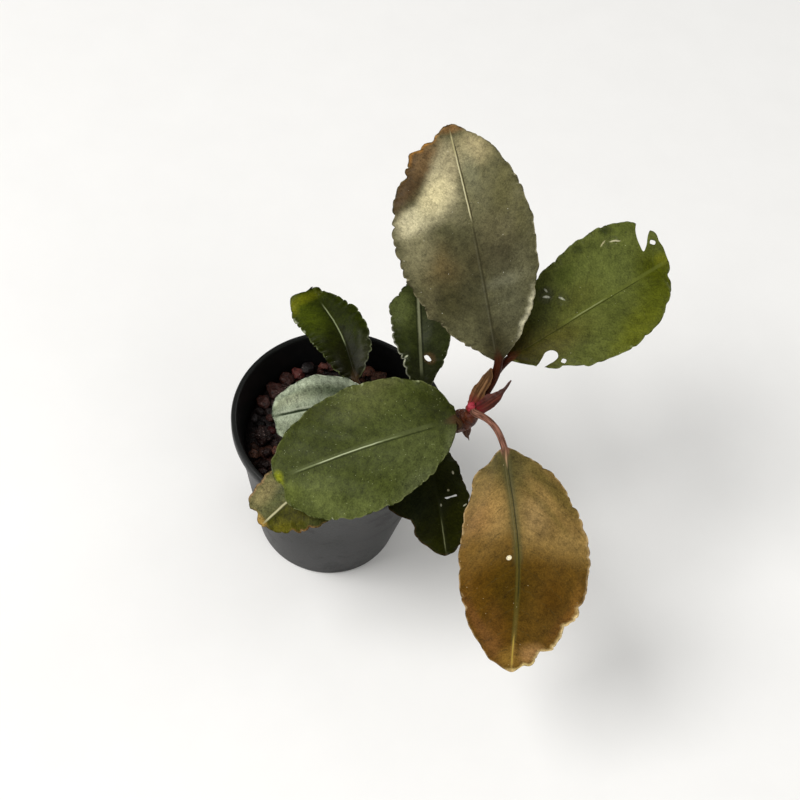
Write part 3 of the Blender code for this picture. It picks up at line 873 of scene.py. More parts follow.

# %% [markdown]
# ## The right leaf
# It is olive green and yellower towards the tip. A notch beside the tip leaves a narrow flap, a round
# bite near the base leaves a sliver of margin, and there are two pinholes. Water stands on it in small
# domes, which are raised from the upper grid and painted smooth, so that they catch the lamps, and small
# white highlights are painted on them. Its base is painted dark as the top leaf's shadow.

# %% Right leaf
leaf_right = place_leaf(
    "leaf_right",
    "olive_leaf",
    dict(
        stalk=[(29.0, -9.2, 70.8), (30.0, -7.3, 71.8), (31.2, -5.2, 73.9), (32.2, -3.8, 77.0), (33.2, -3.1, 81.0)],
        radius=0.8,
        foot=0.3,
        blade=[(34.7, -2.6, 84.5), (48.9, 8.8, 91.0), (65.9, 25.9, 93.0)],
        faces=(-0.10, -0.30, 0.95),
        left=(14.5, 0.74, 0.47),
        right=(12.6, 0.51, 0.84),
        cup=0.12,
        seed=2.0,
        arch=0.3,
        ruffle={"left": (0.30, 0.34, 2.8), "right": (0.25, 0.22, 3.6)},
        pushes=[
            ((-7.5, 43.4), 2.6, (0.4, 2.0)),
            ((-3.4, 43.6), 1.8, (0.0, 0.9)),
            ((8.6, 9.5), 1.6, (-0.6, 0.0)),
            ((3.4, 41.2), 1.2, (-0.5, -0.3)),
        ],
        holes=[
            [(-11.2, 42.9), (-9.9, 41.6), (-7.9, 40.4), (-6.3, 40.0), (-4.8, 39.9), (-5.7, 41.6),
             (-7.1, 43.0), (-8.2, 44.6), (-8.8, 47.0), (-12.0, 46.5)],
            [(3.9, 5.9), (3.2, 7.2), (3.5, 8.5), (4.6, 9.2), (5.7, 8.7), (6.0, 7.7), (5.9, 6.2), (6.0, 4.6),
             (5.6, 2.6), (4.9, 3.4), (4.5, 4.8)],
            [(7.0, 8.7), (7.6, 9.2), (7.2, 9.9), (6.5, 9.4)],
            [(-5.5, 42.4), (-4.8, 43.2), (-5.4, 44.0), (-6.2, 43.2)],
        ],
        blisters=[
            ((-7.3, 13.6), 1.15, 0.42),
            ((-8.4, 15.0), 0.8, 0.35),
            ((-6.2, 15.4), 0.6, 0.28),
            ((-4.9, 17.2), 0.95, 0.3),
            ((-3.8, 16.2), 0.5, 0.22),
            ((-10.3, 32.8), 0.8, 0.3),
            ((-10.3, 35.4), 0.9, 0.3),
            ((-12.3, 26.4), 0.8, 0.3),
        ],
    ),
    dict(
        seed=2.0,
        body=(0.088, 0.100, 0.021),
        deep=(0.070, 0.081, 0.015),
        vein=(0.125, 0.14, 0.040),
        shade=(0.022, 0.027, 0.004),
        rim=(0.13, 0.15, 0.045),
        under=(0.11, 0.115, 0.045),
        glint_tone=(0.22, 0.25, 0.11),
        speck_tone=(0.50, 0.50, 0.30),
        stalk=[RED_BROWN, DARK_RED],
        vein_strength=0.12,
        specks=0.04,
        patches=[
            dict(at=(-7.0, 29.0), size=(8.0, 11.0), soft=0.6, strength=0.7, colour=(0.100, 0.119, 0.027)),
            dict(at=(-12.5, 24.0), size=(2.0, 8.0), soft=0.7, strength=0.5, colour=(0.076, 0.087, 0.016)),
            dict(at=(-3.6, 20.0), size=(2.6, 5.0), soft=0.8, strength=0.6, colour=(0.070, 0.072, 0.013)),
            # Painted shadow: the top leaf's shade over this leaf's base.
            dict(at=(0.0, 1.0), size=(7.5, 11.0), soft=0.8, strength=0.96, colour=(0.018, 0.014, 0.001)),
            dict(at=(-8.5, 11.5), size=(5.0, 4.6), soft=0.7, strength=0.7, colour=(0.038, 0.043, 0.010)),
            dict(at=(-9.2, 20.3), size=(1.8, 2.6), turn=20.0, soft=0.7, strength=0.7, colour=(0.046, 0.058, 0.009)),
            dict(at=(2.6, 11.5), size=(3.0, 6.0), soft=0.8, strength=0.5, colour=(0.085, 0.075, 0.015)),
            dict(at=(9.6, 27.0), size=(3.0, 9.0), turn=22.0, soft=0.7, strength=0.7, colour=(0.100, 0.110, 0.006)),
            dict(at=(5.6, 36.0), size=(5.0, 5.5), soft=0.8, strength=0.8, colour=(0.064, 0.074, 0.003)),
            dict(at=(0.0, 39.4), size=(5.0, 3.6), soft=0.8, strength=0.9, colour=(0.050, 0.058, 0.001)),
            dict(at=(-1.0, 42.6), size=(1.6, 1.6), soft=0.8, strength=0.7, colour=(0.13, 0.135, 0.009)),
            dict(at=(-12.4, 39.0), size=(2.0, 3.6), soft=0.8, strength=0.6, colour=(0.072, 0.088, 0.015)),
            dict(at=(-12.6, 26.6), size=(1.1, 1.3), soft=0.6, strength=0.7, colour=(0.030, 0.038, 0.008)),
            dict(at=(-13.4, 35.0), size=(1.2, 1.5), soft=0.6, strength=0.8, colour=(0.024, 0.032, 0.006)),
            dict(at=(-11.6, 30.2), size=(1.0, 2.0), soft=0.7, strength=0.5, colour=(0.045, 0.055, 0.012)),
            dict(at=(-7.5, 14.0), size=(1.7, 1.9), soft=0.3, strength=0.6, wet=0.4, colour=(0.050, 0.052, 0.025)),
            dict(at=(-4.7, 16.9), size=(1.5, 1.5), soft=0.3, strength=0.4, wet=0.5, colour=(0.055, 0.060, 0.022)),
            dict(at=(-10.3, 34.4), size=(1.2, 2.4), soft=0.3, strength=0.4, wet=0.5, colour=(0.08, 0.09, 0.03)),
            # Painted highlights on the water domes.
            dict(at=(-7.0, 13.9), size=(0.8, 0.26), turn=60.0, soft=0.4, ragged=1.6, colour=(0.44, 0.45, 0.35)),
            dict(at=(-8.3, 14.6), size=(0.5, 0.20), turn=10.0, soft=0.4, ragged=1.4, colour=(0.36, 0.37, 0.28)),
            dict(at=(-5.0, 16.6), size=(0.7, 0.20), turn=30.0, soft=0.4, ragged=1.2, colour=(0.34, 0.35, 0.25)),
            dict(at=(-10.9, 32.6), size=(0.16, 0.9), turn=20.0, soft=0.4, ragged=1.0, colour=(0.40, 0.37, 0.20)),
            dict(at=(-9.9, 35.4), size=(0.18, 1.2), turn=-25.0, soft=0.4, ragged=1.0, colour=(0.46, 0.43, 0.27)),
        ],
        rib=[
            (-0.30, 0.55, 12.0, 44.0, 0.5, (0.120, 0.138, 0.025)),
            (-0.16, 0.16, 15.0, 26.0, 0.6, (0.27, 0.29, 0.13)),
            (0.22, 0.16, 2.0, 36.0, 0.8, (0.022, 0.026, 0.003)),
            (0.0, 0.14, 2.0, 14.0, 0.35, (0.060, 0.050, 0.014)),
        ],
    ),
    230,
    101,
)

# %% [markdown]
# ## The drooping leaf
# An old leaf that hangs down towards the viewer. Its upper half has faded to tan and its lower half is
# still dark, with a V between them that follows the side veins. A green band stays along the midrib, and
# the lower right margin is bleached, ragged and curled, with a cream highlight painted along its curled edge.

# %% Drooping leaf
leaf_drooping = place_leaf(
    "leaf_drooping",
    "brown_leaf",
    dict(
        stalk=[(29.4, -10.2, 73.4), (29.8, -11.7, 74.9), (31.2, -13.0, 76.1), (33.1, -14.8, 77.2), (34.9, -17.1, 77.7)],
        radius=0.72,
        foot=0.25,
        blade=[(37.0, -20.4, 76.6), (43.8, -40.0, 67.0), (47.8, -57.0, 47.0)],
        faces=(0.0, -0.45, 0.89),
        left=(15.4, 0.50, 0.66),
        right=(12.4, 0.52, 0.69),
        cup=-0.08,
        seed=3.0,
        arch=0.35,
        ruffle={"left": (0.45, 0.30, 2.6), "right": (0.16, 0.12, 3.6)},
        pushes=[
            ((5.0, 1.6), 2.0, (-0.6, 0.2)),
            ((7.4, 4.4), 2.4, (1.3, -0.2)),
            ((-4.6, 1.6), 2.0, (0.3, 0.3)),
            ((-12.8, 16.6), 1.3, (1.5, 0.0)),
            ((-12.9, 14.0), 1.6, (0.7, 0.0)),
            ((-6.2, 45.2), 1.4, (1.1, -0.7)),
            ((-8.9, 44.6), 0.8, (-1.0, 0.4)),
            ((-10.8, 39.6), 2.0, (1.0, -0.3)),
            ((-12.9, 37.2), 0.7, (-0.8, 0.2)),
            ((-13.4, 33.6), 1.4, (0.7, 0.0)),
            ((-2.5, 48.6), 1.0, (0.0, -0.6)),
        ],
        curls=[((-8.5, 44.0), (2.0, 3.0), 0.8), ((-13.5, 34.0), (1.6, 6.0), 0.9), ((-3.5, 48.0), (3.0, 1.3), 0.6)],
    ),
    dict(
        seed=3.0,
        body=(0.235, 0.150, 0.045),
        deep=(0.180, 0.112, 0.032),
        vein=(0.065, 0.050, 0.014),
        shade=(0.070, 0.040, 0.008),
        rim=(0.44, 0.31, 0.15),
        under=(0.20, 0.14, 0.065),
        glint_tone=(0.45, 0.34, 0.17),
        speck_tone=(0.62, 0.50, 0.30),
        stalk=[(0.27, 0.125, 0.085), (0.060, 0.026, 0.016)],
        lean=(0.45, 0.035),
        vein_spacing=4.6,
        vein_strength=0.55,
        specks=0.04,
        rough=0.42,
        patches=[
            dict(at=(0.0, 1.0), size=(9.0, 7.5), soft=0.8, strength=0.8, colour=(0.080, 0.070, 0.022)),
            dict(at=(0.0, 10.0), size=(2.4, 9.0), soft=0.8, strength=0.5, colour=(0.100, 0.082, 0.024)),
            dict(at=(0.0, 3.2), size=(2.6, 4.4), soft=0.8, strength=0.85, colour=(0.066, 0.054, 0.016)),
            dict(at=(4.6, 8.4), size=(3.0, 3.0), soft=0.8, strength=0.5, colour=(0.21, 0.135, 0.040)),
            dict(at=(-9.2, 10.0), size=(1.3, 7.0), turn=38.0, soft=0.8, strength=0.7, colour=(0.080, 0.062, 0.013)),
            dict(at=(-6.4, 13.3), size=(0.7, 6.5), turn=36.0, soft=0.8, strength=0.5, colour=(0.085, 0.066, 0.014)),
            dict(at=(-11.5, 13.5), size=(1.8, 3.5), turn=30.0, soft=0.8, strength=0.5, colour=(0.115, 0.078, 0.017)),
            dict(at=(9.5, 14.0), size=(1.2, 6.0), turn=-30.0, soft=0.8, strength=0.4, colour=(0.14, 0.095, 0.028)),
            dict(at=(4.6, 13.6), size=(3.0, 4.4), turn=-16.0, soft=0.8, strength=0.75, colour=(0.31, 0.19, 0.060)),
            dict(at=(8.2, 15.4), size=(2.6, 4.0), turn=-30.0, soft=0.8, strength=0.6, colour=(0.21, 0.11, 0.035)),
            dict(at=(-4.2, 15.4), size=(2.6, 3.6), turn=20.0, soft=0.8, strength=0.5, colour=(0.235, 0.158, 0.066)),
            dict(beyond=(16.0, 21.0, 0.0, 0.0), side=1.0, strength=0.68, colour=(0.120, 0.060, 0.007)),
            dict(beyond=(19.5, 27.0, 0.1, 0.02), side=1.0, strength=0.85, colour=(0.082, 0.036, 0.001)),
            dict(beyond=(19.0, 23.0, 0.0, 0.012), side=-1.0, strength=0.45, colour=(0.14, 0.078, 0.012)),
            dict(beyond=(21.0, 25.5, 0.0, 0.012), side=-1.0, strength=0.88, colour=(0.086, 0.042, 0.003)),
            dict(at=(1.6, 30.0), size=(4.6, 7.5), soft=0.8, strength=0.8, colour=(0.054, 0.030, 0.001)),
            dict(at=(-7.6, 32.5), size=(2.6, 3.6), soft=0.8, strength=0.6, colour=(0.058, 0.024, 0.001)),
            dict(at=(-12.6, 33.8), size=(1.3, 4.2), turn=-8.0, soft=0.8, strength=0.75, colour=(0.165, 0.080, 0.014)),
            dict(at=(-10.4, 38.0), size=(1.3, 4.6), turn=-35.0, soft=0.8, strength=0.6, colour=(0.15, 0.064, 0.012)),
            dict(at=(10.8, 27.0), size=(0.9, 6.0), turn=8.0, soft=0.8, strength=0.5, colour=(0.140, 0.068, 0.012)),
            dict(at=(8.6, 38.0), size=(1.2, 6.5), turn=30.0, soft=0.8, strength=0.6, colour=(0.150, 0.062, 0.016)),
            dict(at=(4.6, 43.0), size=(1.8, 4.0), turn=28.0, soft=0.8, strength=0.7, colour=(0.155, 0.070, 0.018)),
            dict(at=(4.0, 38.0), size=(1.6, 4.6), turn=14.0, soft=0.8, strength=0.5, colour=(0.115, 0.050, 0.008)),
            dict(at=(-4.2, 45.2), size=(2.6, 2.0), soft=0.8, strength=0.8, colour=(0.35, 0.19, 0.065)),
            dict(at=(0.8, 46.4), size=(2.0, 2.4), soft=0.7, strength=0.7, colour=(0.22, 0.125, 0.022)),
            # Pale bleached margin, with a cream highlight painted along its curled edge.
            dict(at=(-9.5, 41.0), size=(7.5, 6.5), turn=40.0, soft=0.4, margin=1.1, colour=(0.50, 0.36, 0.14)),
            dict(at=(-9.5, 41.0), size=(7.5, 6.5), turn=40.0, soft=0.4, margin=0.5, colour=(0.85, 0.70, 0.40)),
            dict(at=(-3.0, 48.4), size=(4.0, 2.0), soft=0.5, margin=0.9, colour=(0.72, 0.56, 0.22)),
            dict(at=(-15.0, 26.0), size=(2.5, 8.0), soft=0.5, margin=0.7, colour=(0.42, 0.30, 0.15)),
            dict(at=(1.9, 23.4), size=(0.60, 0.5), turn=30.0, soft=0.12, ragged=0.3, colour=(0.74, 0.66, 0.45)),
        ],
        rib=[
            (0.0, 1.5, -1.0, 26.0, 0.6, (0.070, 0.066, 0.024)),
            (0.0, 0.8, 18.0, 44.0, 0.5, (0.066, 0.062, 0.009)),
            (0.34, 0.16, 2.0, 22.0, 0.5, (0.16, 0.14, 0.060)),
            (-0.20, 0.18, 1.0, 34.0, 0.85, (0.022, 0.022, 0.006)),
            (0.0, 0.26, -1.5, 5.0, 0.9, (0.42, 0.28, 0.15)),
            (0.25, 0.16, 20.0, 44.0, 0.5, (0.11, 0.082, 0.010)),
            (0.0, 0.24, 40.0, 49.5, 0.9, (0.40, 0.28, 0.05)),
        ],
    ),
    230,
    101,
)

# %% [markdown]
# ## The leaf over the pot
# A dark green leaf that lies over the pot's mouth. Its two halves slope away from the midrib, which is
# raised and nearly white in its middle. Fine pale and dark specks cover it, and its tip is yellowing.

# %% Leaf over the pot
leaf_over_pot = place_leaf(
    "leaf_over_pot",
    "green_leaf",
    dict(
        stalk=[(26.2, -10.2, 66.2), (25.2, -11.9, 67.8), (26.1, -13.4, 70.0), (27.1, -13.6, 72.2)],
        radius=0.75,
        foot=0.2,
        blade=[(26.0, -13.2, 73.2), (8.3, -21.6, 69.0), (-10.3, -29.1, 60.0)],
        faces=(0.05, -0.35, 0.93),
        left=(14.0, 0.57, 0.62),
        right=(13.9, 0.44, 0.36),
        cup=-0.06,
        seed=4.0,
        arch=0.4,
        groove=-0.06,
        ruffle={"left": (0.30, 0.30, 2.5), "right": (0.18, 0.18, 3.1)},
        pushes=[((-2.4, 41.4), 1.5, (0.8, -1.0)), ((4.0, 41.6), 1.6, (0.6, 0.4)), ((-7.0, 40.0), 1.5, (0.0, 0.4))],
        curls=[((-12.5, 15.0), (1.4, 6.0), -0.5)],
    ),
    dict(
        seed=4.0,
        body=(0.054, 0.066, 0.015),
        deep=(0.042, 0.052, 0.010),
        vein=(0.085, 0.10, 0.036),
        shade=(0.014, 0.018, 0.003),
        rim=(0.13, 0.145, 0.05),
        under=(0.10, 0.11, 0.06),
        glint_tone=(0.30, 0.33, 0.18),
        speck_tone=(0.34, 0.37, 0.19),
        stalk=[(0.06, 0.03, 0.012), (0.03, 0.014, 0.006)],
        lean=(0.55, 0.03),
        vein_strength=0.08,
        specks=0.5,
        contrast=1.1,
        streaks=0.5,
        glint=0.9,
        patches=[
            dict(at=(9.6, 18.0), size=(3.5, 7.0), soft=0.8, strength=0.7, colour=(0.082, 0.092, 0.024)),
            dict(at=(12.6, 14.0), size=(1.6, 5.0), soft=0.8, strength=0.6, colour=(0.105, 0.110, 0.038)),
            dict(at=(5.0, 31.0), size=(4.5, 7.5), soft=0.8, strength=0.7, colour=(0.034, 0.042, 0.008)),
            dict(at=(11.0, 28.5), size=(2.0, 4.5), soft=0.8, strength=0.7, colour=(0.028, 0.033, 0.004)),
            dict(at=(-5.0, 9.5), size=(5.5, 5.0), soft=0.8, strength=0.5, colour=(0.080, 0.094, 0.030)),
            dict(at=(4.0, 1.5), size=(5.5, 5.0), soft=0.8, strength=0.9, colour=(0.018, 0.022, 0.002)),
            # Painted sheen on the margin near the base.
            dict(at=(-5.5, 1.8), size=(3.6, 1.8), turn=-24.0, soft=0.8, strength=0.7, colour=(0.11, 0.125, 0.055)),
            dict(at=(-8.0, 21.5), size=(3.0, 4.0), soft=0.8, strength=0.5, colour=(0.054, 0.066, 0.012)),
            dict(at=(-7.0, 33.4), size=(5.0, 3.6), turn=24.0, soft=0.8, strength=0.75, colour=(0.108, 0.128, 0.035)),
            dict(at=(-12.4, 25.0), size=(2.0, 6.0), turn=-8.0, soft=0.8, strength=0.7, colour=(0.100, 0.120, 0.032)),
            dict(at=(-11.5, 11.0), size=(2.6, 5.0), turn=15.0, soft=0.8, strength=0.6, colour=(0.100, 0.115, 0.048)),
            dict(at=(-3.5, 39.4), size=(2.6, 2.0), turn=20.0, soft=0.8, strength=0.7, colour=(0.105, 0.125, 0.026)),
            dict(at=(-0.5, 41.2), size=(1.9, 0.9), turn=-10.0, soft=0.7, strength=0.85, colour=(0.24, 0.26, 0.012)),
            dict(at=(4.0, 39.5), size=(5.0, 2.5), soft=0.6, margin=0.8, strength=0.5, colour=(0.065, 0.085, 0.012)),
        ],
        rib=[
            (0.30, 0.7, 4.0, 40.0, 0.5, (0.085, 0.10, 0.035)),
            (0.05, 0.24, 12.0, 38.0, 0.75, (0.18, 0.21, 0.095)),
            (0.05, 0.14, 16.0, 33.0, 0.75, (0.48, 0.52, 0.33)),
            (-0.36, 0.24, 4.0, 38.0, 0.7, (0.016, 0.021, 0.003)),
        ],
    ),
    220,
    97,
)

# %% [markdown]
# ## The five small leaves
# They grow lower on the rhizome and are made the same way with fewer points. The silver one has pale
# bands that run from base to tip and a silvery grey that is partly painted sheen, the one at the back left
# is young and bright at its tip, and the front ones lie in the shade, which is painted into their dark colours.

# %% Silver leaf
leaf_silver = place_leaf(
    "leaf_silver",
    "silver_leaf",
    dict(
        stalk=[(12.4, -4.1, 53.8), (10.2, -5.1, 57.0)],
        radius=0.6,
        foot=0.3,
        blade=[(7.5, -5.6, 58.4), (-3.8, -8.6, 61.0), (-14.6, -11.6, 58.0)],
        faces=(-0.10, -0.35, 0.93),
        left=(7.8, 0.62, 0.56),
        right=(7.5, 0.47, 0.40),
        cup=0.10,
        seed=5.0,
        arch=0.4,
        groove=0.3,
        ruffle={"left": (0.20, 0.2, 2.2), "right": (0.22, 0.2, 2.0)},
        pushes=[((-1.6, 23.7), 1.2, (0.0, -0.5))],
    ),
    dict(
        seed=5.0,
        # The silvery grey is partly a painted sheen over the leaf's own grey-green.
        body=(0.190, 0.218, 0.130),
        deep=(0.145, 0.172, 0.100),
        vein=(0.36, 0.41, 0.30),
        shade=(0.045, 0.065, 0.040),
        rim=(0.40, 0.44, 0.33),
        under=(0.15, 0.17, 0.11),
        glint_tone=(0.60, 0.64, 0.52),
        speck_tone=(0.02, 0.03, 0.015),
        stalk=[(0.10, 0.05, 0.03), (0.05, 0.02, 0.012)],
        lean=(0.3, 0.0),
        bands=9.0,
        vein_strength=0.1,
        specks=0.2,
        glint=0.7,
        contrast=1.3,
        patches=[
            dict(at=(2.6, 18.4), size=(1.5, 4.2), turn=6.0, soft=0.7, strength=0.9, colour=(0.42, 0.45, 0.29)),
            dict(at=(5.4, 18.2), size=(0.8, 3.6), turn=18.0, soft=0.8, strength=0.7, colour=(0.36, 0.40, 0.28)),
            dict(at=(4.3, 19.5), size=(0.45, 3.0), turn=12.0, soft=0.8, strength=0.8, colour=(0.10, 0.12, 0.070)),
            dict(at=(1.3, 17.0), size=(0.4, 5.0), soft=0.8, strength=0.7, colour=(0.11, 0.13, 0.070)),
            dict(at=(-2.6, 21.0), size=(1.8, 2.6), soft=0.7, strength=0.8, colour=(0.36, 0.40, 0.27)),
            dict(at=(4.2, 13.4), size=(2.2, 2.2), soft=0.8, strength=0.7, colour=(0.20, 0.225, 0.135)),
            dict(at=(4.2, 6.5), size=(4.4, 5.0), soft=0.8, strength=0.92, colour=(0.050, 0.060, 0.030)),
            dict(at=(6.4, 10.6), size=(1.2, 2.8), turn=-6.0, soft=0.8, strength=0.92, colour=(0.040, 0.046, 0.024)),
            dict(at=(5.0, 10.0), size=(0.5, 4.0), turn=6.0, soft=0.8, strength=0.6, colour=(0.14, 0.16, 0.095)),
            dict(at=(0.0, 23.0), size=(5.0, 1.2), soft=0.5, margin=0.6, colour=(0.10, 0.12, 0.07)),
        ],
        rib=[
            # The dark midrib line is painted shade in its groove.
            (0.0, 0.36, 2.0, 23.7, 0.95, (0.018, 0.028, 0.012)),
            (0.52, 0.28, 10.0, 23.0, 0.6, (0.46, 0.50, 0.38)),
            (-0.52, 0.28, 10.0, 23.0, 0.6, (0.40, 0.45, 0.33)),
        ],
    ),
    140,
    65,
)

# %% Back left leaf
leaf_back_left = place_leaf(
    "leaf_back_left",
    "bright_leaf",
    dict(
        stalk=[(10.0, 0.2, 47.4), (6.2, 2.2, 52.0)],
        radius=0.6,
        foot=0.3,
        blade=[(2.2, 4.4, 56.0), (-3.4, 13.6, 60.0), (-13.0, 25.5, 60.0)],
        faces=(-0.10, -0.30, 0.95),
        left=(7.8, 0.72, 0.54),
        right=(6.6, 0.44, 0.76),
        cup=0.14,
        seed=6.0,
        arch=0.3,
        ruffle={"left": (0.32, 0.32, 1.9), "right": (0.62, 0.42, 2.1)},
        pushes=[
            ((-4.6, 26.4), 1.5, (-0.2, 0.9)),
            ((-1.2, 26.2), 0.9, (0.0, -0.5)),
            ((1.2, 25.9), 1.0, (0.6, 0.6)),
            ((5.6, 17.4), 0.8, (-0.6, 0.0)),
        ],
        curls=[((5.0, 6.0), (1.0, 4.0), 0.7), ((-6.5, 24.0), (2.0, 3.0), -0.6)],
    ),
    dict(
        seed=6.0,
        body=(0.020, 0.028, 0.001),
        deep=(0.014, 0.019, 0.001),
        vein=(0.040, 0.052, 0.006),
        shade=(0.008, 0.010, 0.002),
        rim=(0.10, 0.12, 0.04),
        under=(0.07, 0.085, 0.03),
        glint_tone=(0.42, 0.46, 0.30),
        speck_tone=(0.30, 0.33, 0.2),
        stalk=[(0.05, 0.03, 0.012), (0.025, 0.013, 0.006)],
        vein_strength=0.15,
        specks=0.04,
        glint=0.9,
        rough=0.34,
        patches=[
            dict(at=(-1.0, 2.5), size=(6.5, 9.5), soft=0.8, strength=0.95, colour=(0.006, 0.006, 0.001)),
            dict(at=(-5.0, 20.5), size=(2.6, 6.0), turn=8.0, soft=0.8, strength=0.8, colour=(0.048, 0.064, 0.003)),
            dict(at=(-3.6, 25.2), size=(4.2, 1.3), turn=-8.0, soft=0.8, strength=0.8, colour=(0.105, 0.112, 0.003)),
            dict(at=(-6.2, 24.4), size=(1.0, 2.2), turn=-12.0, soft=0.8, strength=0.7, colour=(0.14, 0.145, 0.008)),
            dict(at=(3.6, 4.5), size=(1.6, 4.0), turn=-15.0, soft=0.8, strength=0.5, colour=(0.044, 0.045, 0.028)),
            dict(at=(4.6, 4.5), size=(2.0, 5.0), turn=-20.0, soft=0.5, margin=0.4, colour=(0.20, 0.21, 0.15)),
            # Painted glints on the left margin.
            dict(at=(-7.4, 20.4), size=(0.7, 0.9), turn=20.0, soft=0.4, margin=0.8, colour=(0.45, 0.48, 0.32)),
            dict(at=(-7.6, 16.4), size=(0.6, 0.5), turn=20.0, soft=0.4, margin=0.8, colour=(0.42, 0.45, 0.32)),
        ],
        rib=[
            (0.0, 0.45, 8.0, 23.0, 0.45, (0.045, 0.058, 0.012)),
            (0.05, 0.18, 8.0, 22.0, 0.95, (0.22, 0.25, 0.13)),
            (-0.30, 0.2, 2.0, 22.0, 0.7, (0.008, 0.011, 0.002)),
        ],
    ),
    150,
    69,
)

# %% Back leaf
leaf_back = place_leaf(
    "leaf_back",
    "dark_leaf",
    dict(
        stalk=[(15.2, 0.9, 49.4), (17.8, 1.2, 52.8)],
        radius=0.6,
        foot=0.3,
        blade=[(18.5, 2.4, 56.0), (15.1, 13.5, 64.0), (11.6, 28.0, 69.0)],
        faces=(0.0, -0.35, 0.93),
        left=(6.6, 0.60, 1.10),
        right=(7.8, 0.62, 1.10),
        cup=0.10,
        seed=7.0,
        arch=0.25,
        groove=-0.12,
        ruffle={"left": (0.55, 0.34, 1.8), "right": (0.25, 0.25, 2.3)},
        pushes=[
            ((-6.4, 22.0), 2.0, (-0.7, 0.3)),
            ((-5.2, 12.6), 1.6, (0.6, 0.0)),
            ((-4.4, 9.2), 1.8, (0.4, 0.0)),
            ((0.0, 29.6), 2.6, (0.0, -0.8)),
        ],
        holes=[[(0.8, 10.3), (1.4, 10.5), (2.1, 9.9), (2.4, 9.1), (1.8, 9.0), (1.0, 9.6)]],
        blisters=[((-3.2, 10.0), 0.75, 0.35)],
    ),
    dict(
        seed=7.0,
        body=(0.024, 0.031, 0.006),
        deep=(0.016, 0.021, 0.004),
        vein=(0.040, 0.050, 0.014),
        shade=(0.007, 0.009, 0.002),
        rim=(0.15, 0.16, 0.09),
        under=(0.07, 0.08, 0.045),
        glint_tone=(0.42, 0.44, 0.30),
        speck_tone=(0.35, 0.36, 0.25),
        stalk=[(0.05, 0.03, 0.012), (0.025, 0.013, 0.006)],
        vein_strength=0.12,
        specks=0.04,
        glint=0.8,
        rough=0.36,
        patches=[
            dict(at=(-4.2, 21.8), size=(3.0, 4.5), turn=10.0, soft=0.8, strength=0.85, colour=(0.080, 0.096, 0.027)),
            dict(at=(0.0, 5.0), size=(6.0, 6.0), soft=0.8, strength=0.85, colour=(0.009, 0.010, 0.003)),
            dict(at=(3.5, 18.0), size=(3.5, 5.0), soft=0.8, strength=0.5, colour=(0.030, 0.034, 0.014)),
            dict(at=(-3.2, 10.0), size=(0.8, 0.8), soft=0.2, strength=0.4, wet=0.6, colour=(0.05, 0.06, 0.03)),
            # Painted highlight on the water drop.
            dict(at=(-3.4, 10.4), size=(0.5, 0.2), turn=30.0, soft=0.3, ragged=0.8, colour=(0.36, 0.38, 0.26)),
            dict(at=(-5.2, 10.5), size=(2.4, 7.0), soft=0.5, margin=0.42, colour=(0.52, 0.52, 0.42)),
            dict(at=(2.0, 9.7), size=(1.5, 1.2), turn=-38.0, soft=0.4, strength=0.5, colour=(0.09, 0.05, 0.02)),
        ],
        rib=[
            (0.0, 0.50, 5.0, 27.0, 0.95, (0.095, 0.102, 0.055)),
            (0.05, 0.34, 13.0, 27.5, 0.8, (0.19, 0.20, 0.115)),
            (0.60, 0.25, 6.0, 26.0, 0.7, (0.006, 0.007, 0.002)),
            (-0.60, 0.22, 6.0, 26.0, 0.5, (0.008, 0.010, 0.003)),
        ],
    ),
    150,
    69,
)

